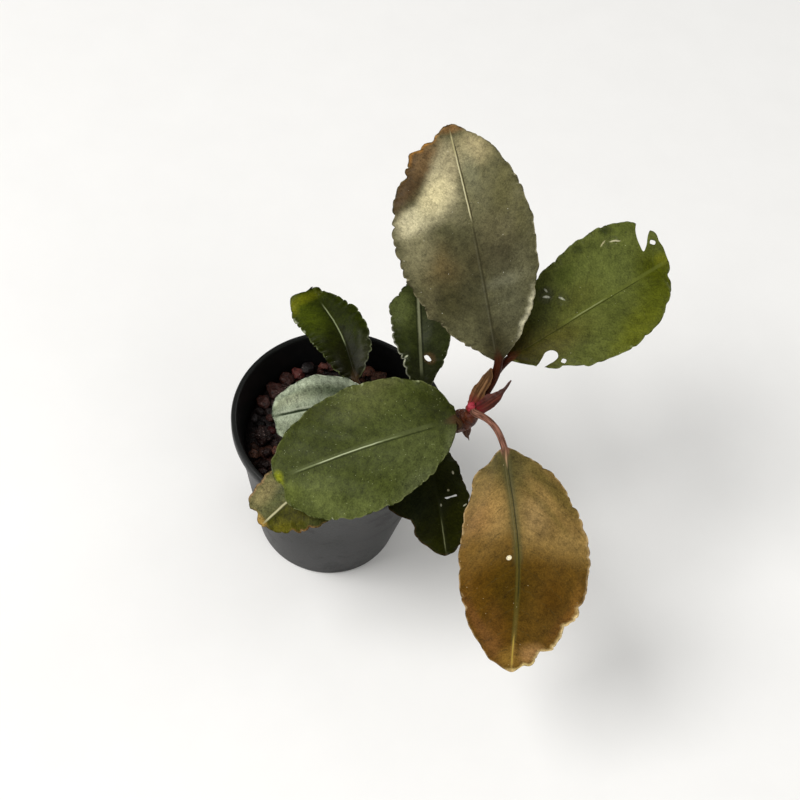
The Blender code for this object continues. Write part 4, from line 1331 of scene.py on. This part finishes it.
# %% Front leaf
leaf_front = place_leaf(
    "leaf_front",
    "shaded_leaf",
    dict(
        stalk=[(15.9, -5.2, 50.6), (18.8, -7.8, 54.4)],
        radius=0.6,
        foot=0.3,
        blade=[(21.6, -10.4, 55.6), (26.0, -21.8, 53.0), (30.1, -31.2, 46.0)],
        faces=(0.0, -0.30, 0.95),
        left=(6.8, 0.42, 0.32),
        right=(11.5, 0.32, 0.34),
        cup=-0.05,
        seed=8.0,
        arch=0.3,
        groove=0.1,
        ruffle={"left": (0.25, 0.2, 2.2), "right": (0.25, 0.2, 2.6)},
        pushes=[
            ((-5.6, 7.2), 1.7, (0.9, 0.0)),
            ((-7.0, 12.6), 1.2, (-0.7, 0.0)),
            ((8.6, 17.0), 2.2, (-2.1, -0.6)),
            ((10.8, 13.0), 1.2, (0.8, 0.0)),
            ((-4.2, 20.8), 1.3, (0.7, 0.0)),
            ((0.6, 24.6), 2.0, (0.3, 0.4)),
        ],
        holes=[[(-4.3, 12.38), (-3.0, 12.46), (-1.7, 12.58), (-1.5, 12.40), (-2.9, 12.16), (-4.4, 12.12)]],
    ),
    dict(
        seed=8.0,
        # Painted shade: this leaf lies in the shade, so its colours are very dark.
        body=(0.0135, 0.0155, 0.0012),
        deep=(0.0090, 0.0105, 0.0008),
        vein=(0.024, 0.027, 0.004),
        shade=(0.004, 0.005, 0.001),
        rim=(0.050, 0.032, 0.010),
        under=(0.05, 0.055, 0.02),
        glint_tone=(0.12, 0.12, 0.06),
        speck_tone=(0.16, 0.17, 0.10),
        stalk=[(0.05, 0.03, 0.012), (0.025, 0.013, 0.006)],
        vein_strength=0.15,
        specks=0.05,
        glint=0.35,
        rough=0.4,
        patches=[
            dict(at=(5.0, 10.5), size=(3.4, 5.0), soft=0.8, strength=0.7, colour=(0.018, 0.024, 0.009)),
            dict(at=(-3.5, 4.0), size=(3.5, 5.0), soft=0.8, strength=0.6, colour=(0.025, 0.030, 0.006)),
            dict(at=(1.0, 8.0), size=(3.0, 4.0), soft=0.8, strength=0.5, colour=(0.022, 0.026, 0.005)),
            dict(at=(-4.5, 6.8), size=(0.22, 0.4), soft=0.4, ragged=0.5, colour=(0.60, 0.58, 0.42)),
            dict(at=(-2.6, 10.8), size=(0.25, 0.25), soft=0.4, ragged=0.5, colour=(0.42, 0.40, 0.26)),
            dict(at=(-0.4, 13.8), size=(0.2, 0.3), soft=0.4, ragged=0.5, colour=(0.32, 0.32, 0.24)),
            dict(at=(-5.9, 14.6), size=(0.5, 0.16), turn=25.0, soft=0.4, ragged=0.5, colour=(0.40, 0.40, 0.30)),
            dict(at=(6.0, 16.0), size=(5.0, 9.0), soft=0.4, margin=0.5, strength=0.7, colour=(0.075, 0.042, 0.014)),
        ],
        rib=[
            (0.0, 0.42, 3.0, 25.0, 0.6, (0.024, 0.028, 0.008)),
            (0.0, 0.16, 16.0, 25.2, 0.9, (0.15, 0.16, 0.08)),
        ],
    ),
    150,
    69,
)

# %% Front left leaf
leaf_front_left = place_leaf(
    "leaf_front_left",
    "yellowing_leaf",
    dict(
        stalk=[(11.6, -3.5, 47.4), (7.8, -12.0, 53.0)],
        radius=0.6,
        foot=0.3,
        blade=[(2.3, -19.3, 55.0), (-5.1, -28.2, 55.0), (-11.9, -34.9, 49.0)],
        faces=(-0.05, -0.20, 0.97),
        left=(9.0, 0.42, 0.49),
        right=(8.2, 0.66, 0.48),
        cup=-0.05,
        seed=9.0,
        arch=0.4,
        groove=-0.05,
        ruffle={"left": (0.40, 0.3, 2.3), "right": (0.35, 0.3, 2.4)},
        pushes=[
            ((3.0, 22.8), 1.4, (0.0, -1.1)),
            ((-1.0, 22.8), 1.0, (0.0, -0.6)),
            ((-5.6, 18.0), 1.2, (0.7, 0.0)),
            ((8.0, 17.0), 0.9, (-0.6, 0.0)),
            ((7.2, 21.4), 1.2, (0.5, 0.3)),
            ((-9.0, 13.0), 1.2, (-0.6, 0.0)),
        ],
    ),
    dict(
        seed=9.0,
        body=(0.050, 0.049, 0.003),
        deep=(0.036, 0.036, 0.002),
        vein=(0.11, 0.10, 0.024),
        shade=(0.018, 0.017, 0.002),
        rim=(0.20, 0.13, 0.045),
        under=(0.14, 0.12, 0.06),
        glint_tone=(0.45, 0.38, 0.2),
        speck_tone=(0.5, 0.42, 0.25),
        stalk=[(0.08, 0.04, 0.02), (0.04, 0.02, 0.01)],
        vein_spacing=1.8,
        vein_width=0.25,
        vein_strength=0.45,
        specks=0.06,
        contrast=1.3,
        patches=[
            dict(at=(4.2, 15.0), size=(5.0, 9.0), soft=0.3, side=1.0, strength=0.85, colour=(0.105, 0.105, 0.042)),
            dict(at=(2.6, 14.0), size=(1.8, 4.0), soft=0.8, strength=0.7, colour=(0.070, 0.082, 0.030)),
            dict(at=(5.2, 17.6), size=(2.0, 3.5), soft=0.8, strength=0.8, colour=(0.24, 0.20, 0.085)),
            dict(at=(7.6, 18.0), size=(2.0, 4.5), soft=0.4, margin=0.9, colour=(0.32, 0.20, 0.10)),
            dict(at=(-4.4, 19.6), size=(2.4, 1.8), soft=0.8, strength=0.8, colour=(0.13, 0.115, 0.010)),
            dict(at=(-5.0, 15.1), size=(2.4, 3.0), soft=0.8, strength=0.5, colour=(0.068, 0.062, 0.006)),
            dict(at=(-8.2, 13.5), size=(1.8, 2.5), soft=0.8, strength=0.7, colour=(0.040, 0.048, 0.012)),
            dict(at=(-7.8, 15.5), size=(2.4, 3.5), soft=0.5, margin=0.7, colour=(0.17, 0.075, 0.03)),
            dict(at=(0.8, 22.3), size=(2.6, 0.9), soft=0.7, strength=0.85, colour=(0.32, 0.20, 0.045)),
        ],
        rib=[
            (0.0, 0.55, 8.0, 23.0, 0.6, (0.14, 0.135, 0.06)),
            (0.0, 0.30, 11.0, 23.0, 0.95, (0.46, 0.43, 0.25)),
            (-0.52, 0.22, 6.0, 22.0, 0.6, (0.024, 0.024, 0.004)),
        ],
    ),
    150,
    69,
)

# %% [markdown]
# ## The rhizome
# The stem creeps up out of the grit and then leans over the rim. A bevelled curve would be too even: the
# real one has rings where old leaves stood, knobs where the living stalks leave it, and a rough bark. Its
# rings are made from the same smooth curve, and a pink patch marks the youngest part.

# %% Rhizome
RHIZOME = [
    ((11.0, 6.5, 24.0), 1.6),
    ((11.4, 4.2, 36.0), 2.3),
    ((12.6, -0.4, 46.0), 2.6),
    ((15.6, -3.6, 54.0), 2.5),
    ((20.6, -6.6, 60.5), 2.3),
    ((24.4, -8.4, 64.4), 2.4),
    ((27.0, -9.6, 67.6), 2.6),
    ((28.9, -10.4, 71.0), 2.6),
    ((30.0, -10.6, 73.6), 2.1),
]


def tube_mesh(name, path, radii, sides, roughen):
    """A closed tube round a path, where roughen gives each point's own share of the radius."""
    ahead = unit(np.gradient(path, axis=0))
    side = unit(np.cross(ahead, (0.3, 0.9, 0.1)))
    up = np.cross(side, ahead)
    angles = np.linspace(0.0, 2.0 * math.pi, sides, endpoint=False)
    out = side[:, None] * np.cos(angles)[None, :, None] + up[:, None] * np.sin(angles)[None, :, None]
    along = np.repeat(lengths_along(path)[:, None], sides, axis=1)
    points = path[:, None] + out * (radii[:, None] * roughen(along, angles[None, :]))[..., None]
    count = len(path)
    number = np.arange(count * sides).reshape(count, sides)
    faces = []
    for i in range(count - 1):
        for j in range(sides):
            k = (j + 1) % sides
            faces.append((number[i, j], number[i, k], number[i + 1, k], number[i + 1, j]))
    faces += [tuple(number[0][::-1]), tuple(number[-1])]
    numbers = {"across": np.tile(angles, count), "along": along.ravel()}
    return mesh_object(name, points.reshape(-1, 3), [tuple(int(k) for k in face) for face in faces], numbers)


def bark(along, angle):
    rings = np.exp(-(((along / 2.3 + 0.12 * np.sin(angle * 2.0 + along)) % 1.0 - 0.5) / 0.16) ** 2)
    lumps = 0.05 * np.sin(angle * 3.0 + along * 1.3) + 0.04 * np.sin(angle * 5.0 - along * 2.1)
    return 0.93 + 0.09 * rings + lumps


stem_path = evenly_spaced(smooth_path([place for place, radius in RHIZOME]), 220)
stem_spots = lengths_along(smooth_path([place for place, radius in RHIZOME]))[::16]
stem_radii = np.interp(np.linspace(0.0, stem_spots[-1], 220), stem_spots, [r for place, r in RHIZOME])
stem_radii = stem_radii * np.sqrt(np.clip(1.0 - np.linspace(-0.5, 1.0, 220).clip(0.0) ** 14, 0.05, 1.0))
rhizome = tube_mesh("rhizome_stem", stem_path, stem_radii, 48, bark)
NODE_PLACE = (0.02885, -0.0103, 0.0753)
bud_path = evenly_spaced(np.array([(28.7, -9.9, 72.6), (28.75, -10.0, 74.2), (28.9, -9.9, 75.8)]), 40)
bud_radii = 1.05 * np.sin(np.linspace(0.12, 3.02, 40)) ** 0.5 * (1.0 + 0.10 * np.sin(np.linspace(0.0, 19.0, 40)))
bud = tube_mesh("rhizome_bud", bud_path, bud_radii, 32, bark)
print("rhizome", round(stem_spots[-1], 1), "mm long")

# %% [markdown]
# The bark is red-brown and darker in its rings, with pale dry specks. The pink patch is an ellipsoid of
# colour at the newest joint, found by its distance from one point on the plant.

# %% Rhizome finish
bark_finish = Finish("rhizome_bark", specular_ior_level=0.2)
on_stem = bark_finish.node("ShaderNodeTexCoord", output="Object")
coarse = bark_finish.noise(on_stem, 450.0, 5.0, 0.65)
fibres = bark_finish.noise(on_stem, 1800.0, 4.0, 0.6)
stem_along = bark_finish.attribute("along")
ring = ((stem_along / 2.3 * 2.0 * math.pi).sine() * 0.5 + 0.5) ** 3.0
bark_colour = bark_finish.mix(coarse.fade(0.35, 0.65), (0.040, 0.007, 0.002), (0.100, 0.024, 0.006))
bark_colour = bark_finish.mix(ring * 0.5, bark_colour, (0.022, 0.006, 0.002))
bark_colour = bark_finish.mix(fibres.fade(0.55, 0.75) * 0.4, bark_colour, (0.20, 0.075, 0.030))
nearness = bark_finish.node(
    "ShaderNodeVectorMath", {"operation": "DISTANCE"}, {0: on_stem, 1: NODE_PLACE}, "Value"
)
blush = (nearness + (coarse - 0.5) * 0.0016).fade(0.0029, 0.0014)
bark_colour = bark_finish.mix(blush * 0.8, bark_colour, (0.16, 0.010, 0.011))
pink = (nearness + (coarse - 0.5) * 0.0012).fade(0.0016, 0.0008)
pink = pink * (coarse.fade(0.25, 0.6) * 0.6 + 0.35)
bark_colour = bark_finish.mix(pink, bark_colour, (0.36, 0.032, 0.052))
dry = bark_finish.cells(on_stem, 900.0).fade(0.22, 0.1)
dry = dry * bark_finish.chance(on_stem, 900.0).above(0.85)
bark_colour = bark_finish.mix(dry, bark_colour, (0.62, 0.45, 0.32))
bark_finish.set("Base Color", bark_colour)
bark_finish.set("Roughness", 0.38 + (fibres - 0.5) * 0.4)
bark_finish.bump(coarse * 0.7 + fibres * 0.5 - ring * 0.6, 0.0003)
for piece in (rhizome, bud):
    piece.data.materials.append(bark_finish.material)
    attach(piece, "root")
    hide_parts("rhizome")
print("bark painted")

# %% [markdown]
# ## The sheaths
# Each young leaf comes out of a thin scale that dries up beside the stalk. A scale is a narrow blade with
# no stalk, so the leaf maker makes it too: it is bent across like a gutter and its ruffle is small.

# %% Sheath maker
def place_sheath(node, slot, plan, look):
    scale = grow(node + "_scale", dict(plan, ruffle={"left": (0.08, 0.06, 1.6), "right": (0.06, 0.05, 1.9)}), 90, 41)
    paint = LeafPaint(slot, look["seed"], specular_ior_level=0.15)
    stretched = paint.node("ShaderNodeMapping", inputs={"Vector": paint.place, "Scale": (4.0, 0.3, 1.0)})
    streak = paint.noise(stretched, 1.0, 4.0, 0.6)
    colour = paint.mix(streak.fade(0.38, 0.62), *look["body"])
    colour = paint.mix(paint.along.fade(*look["tip_from"]), colour, look["tip"])
    colour = paint.mix(paint.along.fade(look["base_to"], 0.0), colour, look["base"])
    for offset, width, start, end, strength, tone in look["rib"]:
        colour = paint.mix(paint.line(offset, width, start, end, 1.0) * strength, colour, tone)
    colour = paint.mix(paint.edge.fade(0.3, 0.05) * 0.6, colour, look["rim"])
    colour = paint.mix(paint.underside * 0.6, colour, look["base"])
    paint.set("Base Color", colour)
    paint.set("Roughness", look["rough"] + (streak - 0.5) * 0.3)
    paint.bump(streak * 0.7 + paint.grain * 0.3, 0.00018)
    scale.data.materials.append(paint.material)
    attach(scale, "root")
    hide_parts(node)
    print(node, len(scale.data.vertices), "points")
    return scale


# %% The three sheaths
place_sheath(
    "sheath_spindle",
    "papery_sheath",
    dict(blade=[(28.6, -10.0, 73.4), (29.5, -8.2, 77.6), (31.3, -5.9, 84.0)], faces=(-0.3, -0.6, 0.7),
         left=(1.3, 0.44, 0.6), right=(1.5, 0.44, 0.6), trim=(0.12, 0.98), cup=-0.35, seed=1.5, groove=0.0,
         keel=0.1, uneven=0.04),
    dict(seed=1.5, body=((0.055, 0.022, 0.006), (0.13, 0.062, 0.020)), tip=(0.060, 0.030, 0.010),
         tip_from=(8.0, 11.5), base=(0.20, 0.022, 0.024), base_to=5.5, rim=(0.17, 0.085, 0.035), rough=0.45,
         rib=[(0.45, 0.26, 3.5, 9.5, 0.7, (0.24, 0.125, 0.055)), (-0.35, 0.2, 1.0, 10.5, 0.7, (0.035, 0.014, 0.004)),
              (0.95, 0.2, 1.0, 10.5, 0.6, (0.035, 0.012, 0.004)), (-0.8, 0.16, 3.0, 9.0, 0.5, (0.20, 0.10, 0.045))]),
)
place_sheath(
    "sheath_spur",
    "maroon_sheath",
    dict(blade=[(29.2, -10.5, 73.6), (32.1, -9.6, 76.7), (35.3, -7.2, 80.0), (36.1, -5.8, 81.1)],
         faces=(0.1, -0.6, 0.8), left=(2.3, 0.24, 0.6), right=(1.75, 0.26, 0.6), trim=(0.14, 0.99), cup=-0.35,
         seed=2.5, groove=0.0, keel=0.12, uneven=0.04),
    dict(seed=2.5, body=((0.040, 0.009, 0.005), (0.090, 0.021, 0.013)), tip=(0.030, 0.014, 0.010),
         tip_from=(6.5, 9.5), base=(0.17, 0.012, 0.018), base_to=4.5, rim=(0.085, 0.026, 0.018), rough=0.42,
         rib=[(0.4, 0.25, 1.0, 8.0, 0.5, (0.14, 0.036, 0.022)), (-0.5, 0.25, 1.0, 8.0, 0.6, (0.024, 0.005, 0.003)),
              (1.2, 0.3, 1.0, 8.0, 0.5, (0.030, 0.006, 0.003))]),
)
place_sheath(
    "sheath_spike",
    "dead_sheath",
    dict(blade=[(28.9, -11.0, 67.8), (29.4, -11.1, 65.6), (30.1, -10.8, 62.9)], faces=(0.2, -0.9, 0.3),
         left=(1.0, 0.22, 0.6), right=(1.0, 0.22, 0.6), trim=(0.12, 0.98), cup=-0.2, seed=3.5, groove=0.0,
         keel=0.1, uneven=0.03),
    dict(seed=3.5, body=((0.036, 0.011, 0.005), (0.075, 0.028, 0.012)), tip=(0.028, 0.014, 0.008),
         tip_from=(3.5, 5.0), base=(0.060, 0.014, 0.006), base_to=2.0, rim=(0.11, 0.05, 0.025), rough=0.55,
         rib=[(0.2, 0.25, 0.5, 4.5, 0.5, (0.10, 0.045, 0.022))]),
)

# %% [markdown]
# ## The pot
# A thin nursery pot of black plastic. Its profile is drawn once, with a rounded lip, and turned round the
# upright axis, and booleans cut the drain holes. Moulded plastic isn't one flat black: it has a fine
# grain, faint turning marks and a little dust, and a painted sheen makes its lip a little lighter.

# %% Pot
RIM_RADIUS = 26.0
POT_HEIGHT = 46.0
POT_PROFILE = [
    (0.0, 1.2), (14.6, 1.2), (16.1, 1.25), (16.8, 1.6), (17.1, 2.3), (20.5, 22.8), (23.9, 43.2), (24.35, 44.4),
    (24.6, 45.4), (24.75, 45.8), (25.0, 46.0), (25.5, 46.0), (25.8, 45.85), (26.0, 45.4), (25.95, 44.3),
    (25.9, 43.4), (25.75, 43.22), (25.4, 43.15), (24.75, 43.0), (24.62, 42.7), (21.3, 21.9), (18.0, 0.9),
    (17.85, 0.4), (17.2, 0.0), (9.0, 0.0), (0.0, 0.0),
]
pot = turned_mesh("pot_shell", [(r * MM, z * MM) for r, z in POT_PROFILE], 144)
for quarter in range(4):
    angle = math.pi / 4.0 + quarter * math.pi / 2.0
    rod = [(0.0, -3.0 * MM), (2.2 * MM, -3.0 * MM), (2.2 * MM, 3.0 * MM), (0.0, 3.0 * MM)]
    drill = turned_mesh("drill", rod, 32)
    drill.location = (11.0 * MM * math.cos(angle), 11.0 * MM * math.sin(angle), 0.0)
    cut = pot.modifiers.new("drain", "BOOLEAN")
    cut.operation = "DIFFERENCE"
    cut.solver = "EXACT"
    cut.object = drill
bpy.context.view_layer.update()
pot_mesh = bpy.data.meshes.new_from_object(pot.evaluated_get(bpy.context.evaluated_depsgraph_get()))
for cut in list(pot.modifiers):
    bpy.data.objects.remove(cut.object)
    pot.modifiers.remove(cut)
pot.data = pot_mesh
pot.data.shade_smooth()
pot.data.set_sharp_from_angle(angle=math.radians(38.0))
print("pot", len(pot.data.polygons), "faces")

# %% Pot finish
plastic = Finish("black_plastic", specular_ior_level=0.18)
on_pot = plastic.node("ShaderNodeTexCoord", output="Object")
mould_grain = plastic.noise(on_pot, 2200.0, 3.0)
dust = plastic.noise(on_pot, 140.0, 5.0, 0.65).fade(0.5, 0.72)
height = plastic.node("ShaderNodeSeparateXYZ", inputs={0: on_pot}, output="Z")
turning = (height * 6000.0 + plastic.noise(on_pot, 90.0, 2.0) * 4.0).sine() * 0.5 + 0.5
black = plastic.mix(mould_grain, (0.0030, 0.0032, 0.0032), (0.0055, 0.0058, 0.0058))
black = plastic.mix(dust * 0.12, black, (0.022, 0.020, 0.018))
# Painted sheen: the lip is a little lighter and greener than the wall.
black = plastic.mix(height.fade(0.0440, 0.0462) * 0.3, black, (0.010, 0.011, 0.009))
plastic.set("Base Color", black)
plastic.set("Roughness", 0.40 + (mould_grain - 0.5) * 0.12 + dust * 0.10)
plastic.bump(mould_grain * 0.6 + turning * 0.08, 0.00004)
pot.data.materials.clear()
pot.data.materials.append(plastic.material)
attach(pot, "root")
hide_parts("pot")
print("pot painted")

# %% [markdown]
# ## The grit
# The pot is filled with wet volcanic grit, in rough grains of 2 to 5 mm. One bumpy sheet would read as mud,
# so the top layer is made of separate grains: small spheres with flat chips off them and pushed in and out
# by noise, each with its own size, turn and tint. They lie a little higher at the back. A dark bed under them closes
# the gaps; it and the lower grains are painted darker still as shade.

# %% Grains
GRIT_LEVEL = 37.6
GRIT_SLOPE = 0.07
picker = random.Random(11)


def grain_points(radius, seed, fineness, lumps, squash):
    """A broken lump as points and faces: a sphere with flat chips off it, roughened by noise."""
    work = bmesh.new()
    bmesh.ops.create_icosphere(work, subdivisions=fineness, radius=1.0)
    ways = np.array([vertex.co.normalized() for vertex in work.verts])
    faces = [tuple(corner.index for corner in face.verts) for face in work.faces]
    work.free()
    chips = unit(np.array([[picker.gauss(0.0, 1.0) for _ in range(3)] for _ in range(13)]))
    depths = np.array([picker.uniform(0.66, 0.98) for _ in range(13)])
    slant = ways @ chips.T
    reach = np.min(np.where(slant > 0.15, depths / np.maximum(slant, 0.15), 1.2), axis=1).clip(0.0, 1.2)
    stretch = np.array((picker.uniform(0.8, 1.25), picker.uniform(0.8, 1.25), squash))
    offset = Vector((seed * 3.7, seed * 1.3, -seed * 2.1))
    rough = []
    for way in ways:
        way = Vector(way)
        slow = noise.noise(way * 1.1 + offset)
        small = noise.noise(way * 3.6 + offset * 2.0)
        tiny = noise.noise(way * 9.0 + offset)
        rough.append(0.16 * slow + lumps * small + 0.07 * tiny)
    return ways * ((reach + np.array(rough)) * radius)[:, None] * stretch, faces


def rhizome_gap(x, y):
    return math.hypot(x - 11.5, y - 3.6)


def spread_grains(count, height, sizes, reach, tries=9000):
    """Places for grains that barely touch: (x, y, z, radius, tint)."""
    found = []
    for _ in range(tries):
        if len(found) == count:
            break
        radius = picker.uniform(*sizes)
        away = (reach - radius * 0.8) * math.sqrt(picker.random())
        angle = picker.uniform(0.0, 2.0 * math.pi)
        x, y = away * math.cos(angle), away * math.sin(angle)
        if rhizome_gap(x, y) < radius + 2.1:
            continue
        if all(math.hypot(x - a, y - b) > 0.80 * (radius + r) for a, b, _, r, _ in found):
            z = height + GRIT_SLOPE * y - 0.55 * radius + picker.uniform(-0.5, 0.5)
            found.append((x, y, z, radius, picker.random()))
    return found


# Grains that stand out: place, radius, tint and how lumpy
NOTABLE = [
    (-18.0, -2.9, 2.5, 0.30, 0.30),
    (-13.2, 15.6, 1.6, 0.97, 0.10),
    (-12.2, 19.6, 1.9, 0.03, 0.10),
    (6.8, 19.6, 1.9, 0.80, 0.04),
    (-18.0, 10.0, 2.3, 0.62, 0.10),
    (-20.6, 6.6, 1.8, 0.66, 0.12),
    (-20.9, 0.6, 1.1, 0.04, 0.10),
    (-13.6, -6.8, 1.3, 0.88, 0.15),
    (-15.8, -7.9, 1.2, 0.35, 0.20),
]


# Two heights on the pot's wall, and its inner radius at each
WALL_HEIGHTS = (22.8, 43.2)
WALL_RADII = (20.5, 23.9)


def grain_heap(name, grains, fineness):
    """All the grains of one layer as one mesh inside the pot's wall, with a tint a grain."""
    points, faces, tints = [], [], []
    start = 0
    for index, (x, y, z, radius, tint, lumps) in enumerate(grains):
        shape, sides = grain_points(radius, index * 1.37 + 0.5, fineness, lumps, picker.uniform(0.7, 0.95))
        angle = picker.uniform(0.0, 6.28)
        spin = np.array([[math.cos(angle), -math.sin(angle), 0], [math.sin(angle), math.cos(angle), 0], [0, 0, 1]])
        grain = shape @ spin.T + (x, y, z)
        room = np.interp(grain[:, 2], WALL_HEIGHTS, WALL_RADII) - 0.1
        past = max(0.0, float(np.max(np.hypot(grain[:, 0], grain[:, 1]) - room)))
        grain[:, :2] -= np.array((x, y)) / math.hypot(x, y) * past
        points.append(grain)
        faces += [tuple(start + k for k in face) for face in sides]
        tints += [tint] * len(shape)
        start += len(shape)
    points = np.vstack(points)
    numbers = {"across": points[:, 0], "along": points[:, 1], "tint": np.array(tints)}
    made = mesh_object(name, points, faces, numbers)
    made.data.set_sharp_from_angle(angle=math.radians(180.0))
    return made


top_layer = [(x, y, GRIT_LEVEL + GRIT_SLOPE * y - 0.35 * r, r, tint, lumps) for x, y, r, tint, lumps in NOTABLE]
for grain in spread_grains(140, GRIT_LEVEL, (1.0, 2.3), 22.6):
    if all(math.hypot(grain[0] - g[0], grain[1] - g[1]) > 0.8 * (grain[3] + g[3]) for g in top_layer):
        top_layer.append((*grain[:4], grain[4], picker.uniform(0.08, 0.24)))
under_layer = [(*grain[:4], grain[4], 0.15) for grain in spread_grains(150, GRIT_LEVEL - 2.0, (1.2, 2.2), 22.3)]
grains = grain_heap("grit_grains", top_layer, 4)
under_grains = grain_heap("grit_under", under_layer, 2)
print(len(top_layer), "grains on top,", len(under_layer), "under them;", len(grains.data.polygons), "faces")

# %% Grit bed
bed_profile = [(0.0, GRIT_LEVEL - 2.6), (8.0, GRIT_LEVEL - 2.6), (15.0, GRIT_LEVEL - 2.6), (22.4, GRIT_LEVEL - 2.6),
               (22.3, GRIT_LEVEL - 3.4), (17.0, 2.9), (16.0, 1.6), (0.0, 1.6)]
bed = turned_mesh("grit_bed", [(r * MM, z * MM) for r, z in bed_profile], 96)
work = bmesh.new()
work.from_mesh(bed.data)
bmesh.ops.subdivide_edges(work, edges=[e for e in work.edges if e.verts[0].co.z > 0.034 and e.verts[1].co.z > 0.034],
                          cuts=3, use_grid_fill=True)
for vertex in work.verts:
    if vertex.co.z > 0.034:
        vertex.co.z += (GRIT_SLOPE * vertex.co.y) + 0.0007 * noise.noise(vertex.co * 500.0)
work.to_mesh(bed.data)
work.free()
add_numbers(bed.data, "tint", np.full(len(bed.data.vertices), 0.15))
print("bed", len(bed.data.polygons), "faces")

# %% [markdown]
# Wet grit is nearly black in its hollows and dark red on its tops, and every lump carries a small sharp
# highlight. The tint of each grain picks a tone from a ramp, from grey-black over red-brown to a few tan
# ones. A low roughness with a fine bump gives the glints. Pale crumbs are partly painted sparkles, and the
# grains under the top layer and the bed take a copy painted darker as the shade in the hollows.

# %% Grit finish
def grit_finish(name, darkness):
    stone = Finish(name, specular_ior_level=0.3)
    where = stone.node("ShaderNodeTexCoord", output="Object")
    tint = stone.attribute("tint")
    ramp = [(0.0, (0.008, 0.007, 0.007)), (0.10, (0.008, 0.003, 0.002)), (0.45, (0.018, 0.005, 0.003)),
            (0.72, (0.042, 0.012, 0.008)), (0.84, (0.12, 0.050, 0.028)), (1.0, (0.085, 0.012, 0.012))]
    tone = stone.node("ShaderNodeValToRGB", {"stops": ramp}, {"Fac": tint}, "Color")
    pores = stone.noise(where, 1400.0, 5.0, 0.7)
    blotch = stone.noise(where, 420.0, 3.0)
    tone = stone.mix(pores.fade(0.52, 0.36) * 0.8, tone, (0.0015, 0.0008, 0.0007))
    tone = stone.mix(blotch.fade(0.55, 0.75) * 0.35, tone, (0.045, 0.017, 0.013))
    # Pale crumbs, partly painted sparkles of wet, which are also glossier.
    crumbs_and_sparkles = stone.cells(where, 2300.0).fade(0.30, 0.12) * stone.chance(where, 2300.0).above(0.93)
    tone = stone.mix(crumbs_and_sparkles * 0.7, tone, (0.36, 0.24, 0.21))
    # Darkness mixes in near black: painted shade, for the copy used on the grains and bed in the hollows.
    tone = stone.mix(darkness, tone, (0.002, 0.001, 0.001))
    stone.set("Base Color", tone)
    stone.set("Roughness", (0.20 + pores * 0.45 - crumbs_and_sparkles * 0.3).at_least(0.06))
    stone.bump(pores * 0.8 + blotch * 0.4, 0.0005)
    return stone.material


grains.data.materials.append(grit_finish("wet_grit", 0.0))
shadowed = grit_finish("wet_grit_in_shadow", 0.5)
for piece in (under_grains, bed):
    piece.data.materials.append(shadowed)
for piece in (grains, under_grains, bed):
    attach(piece, "root")
    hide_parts("grit")
print("grit painted")
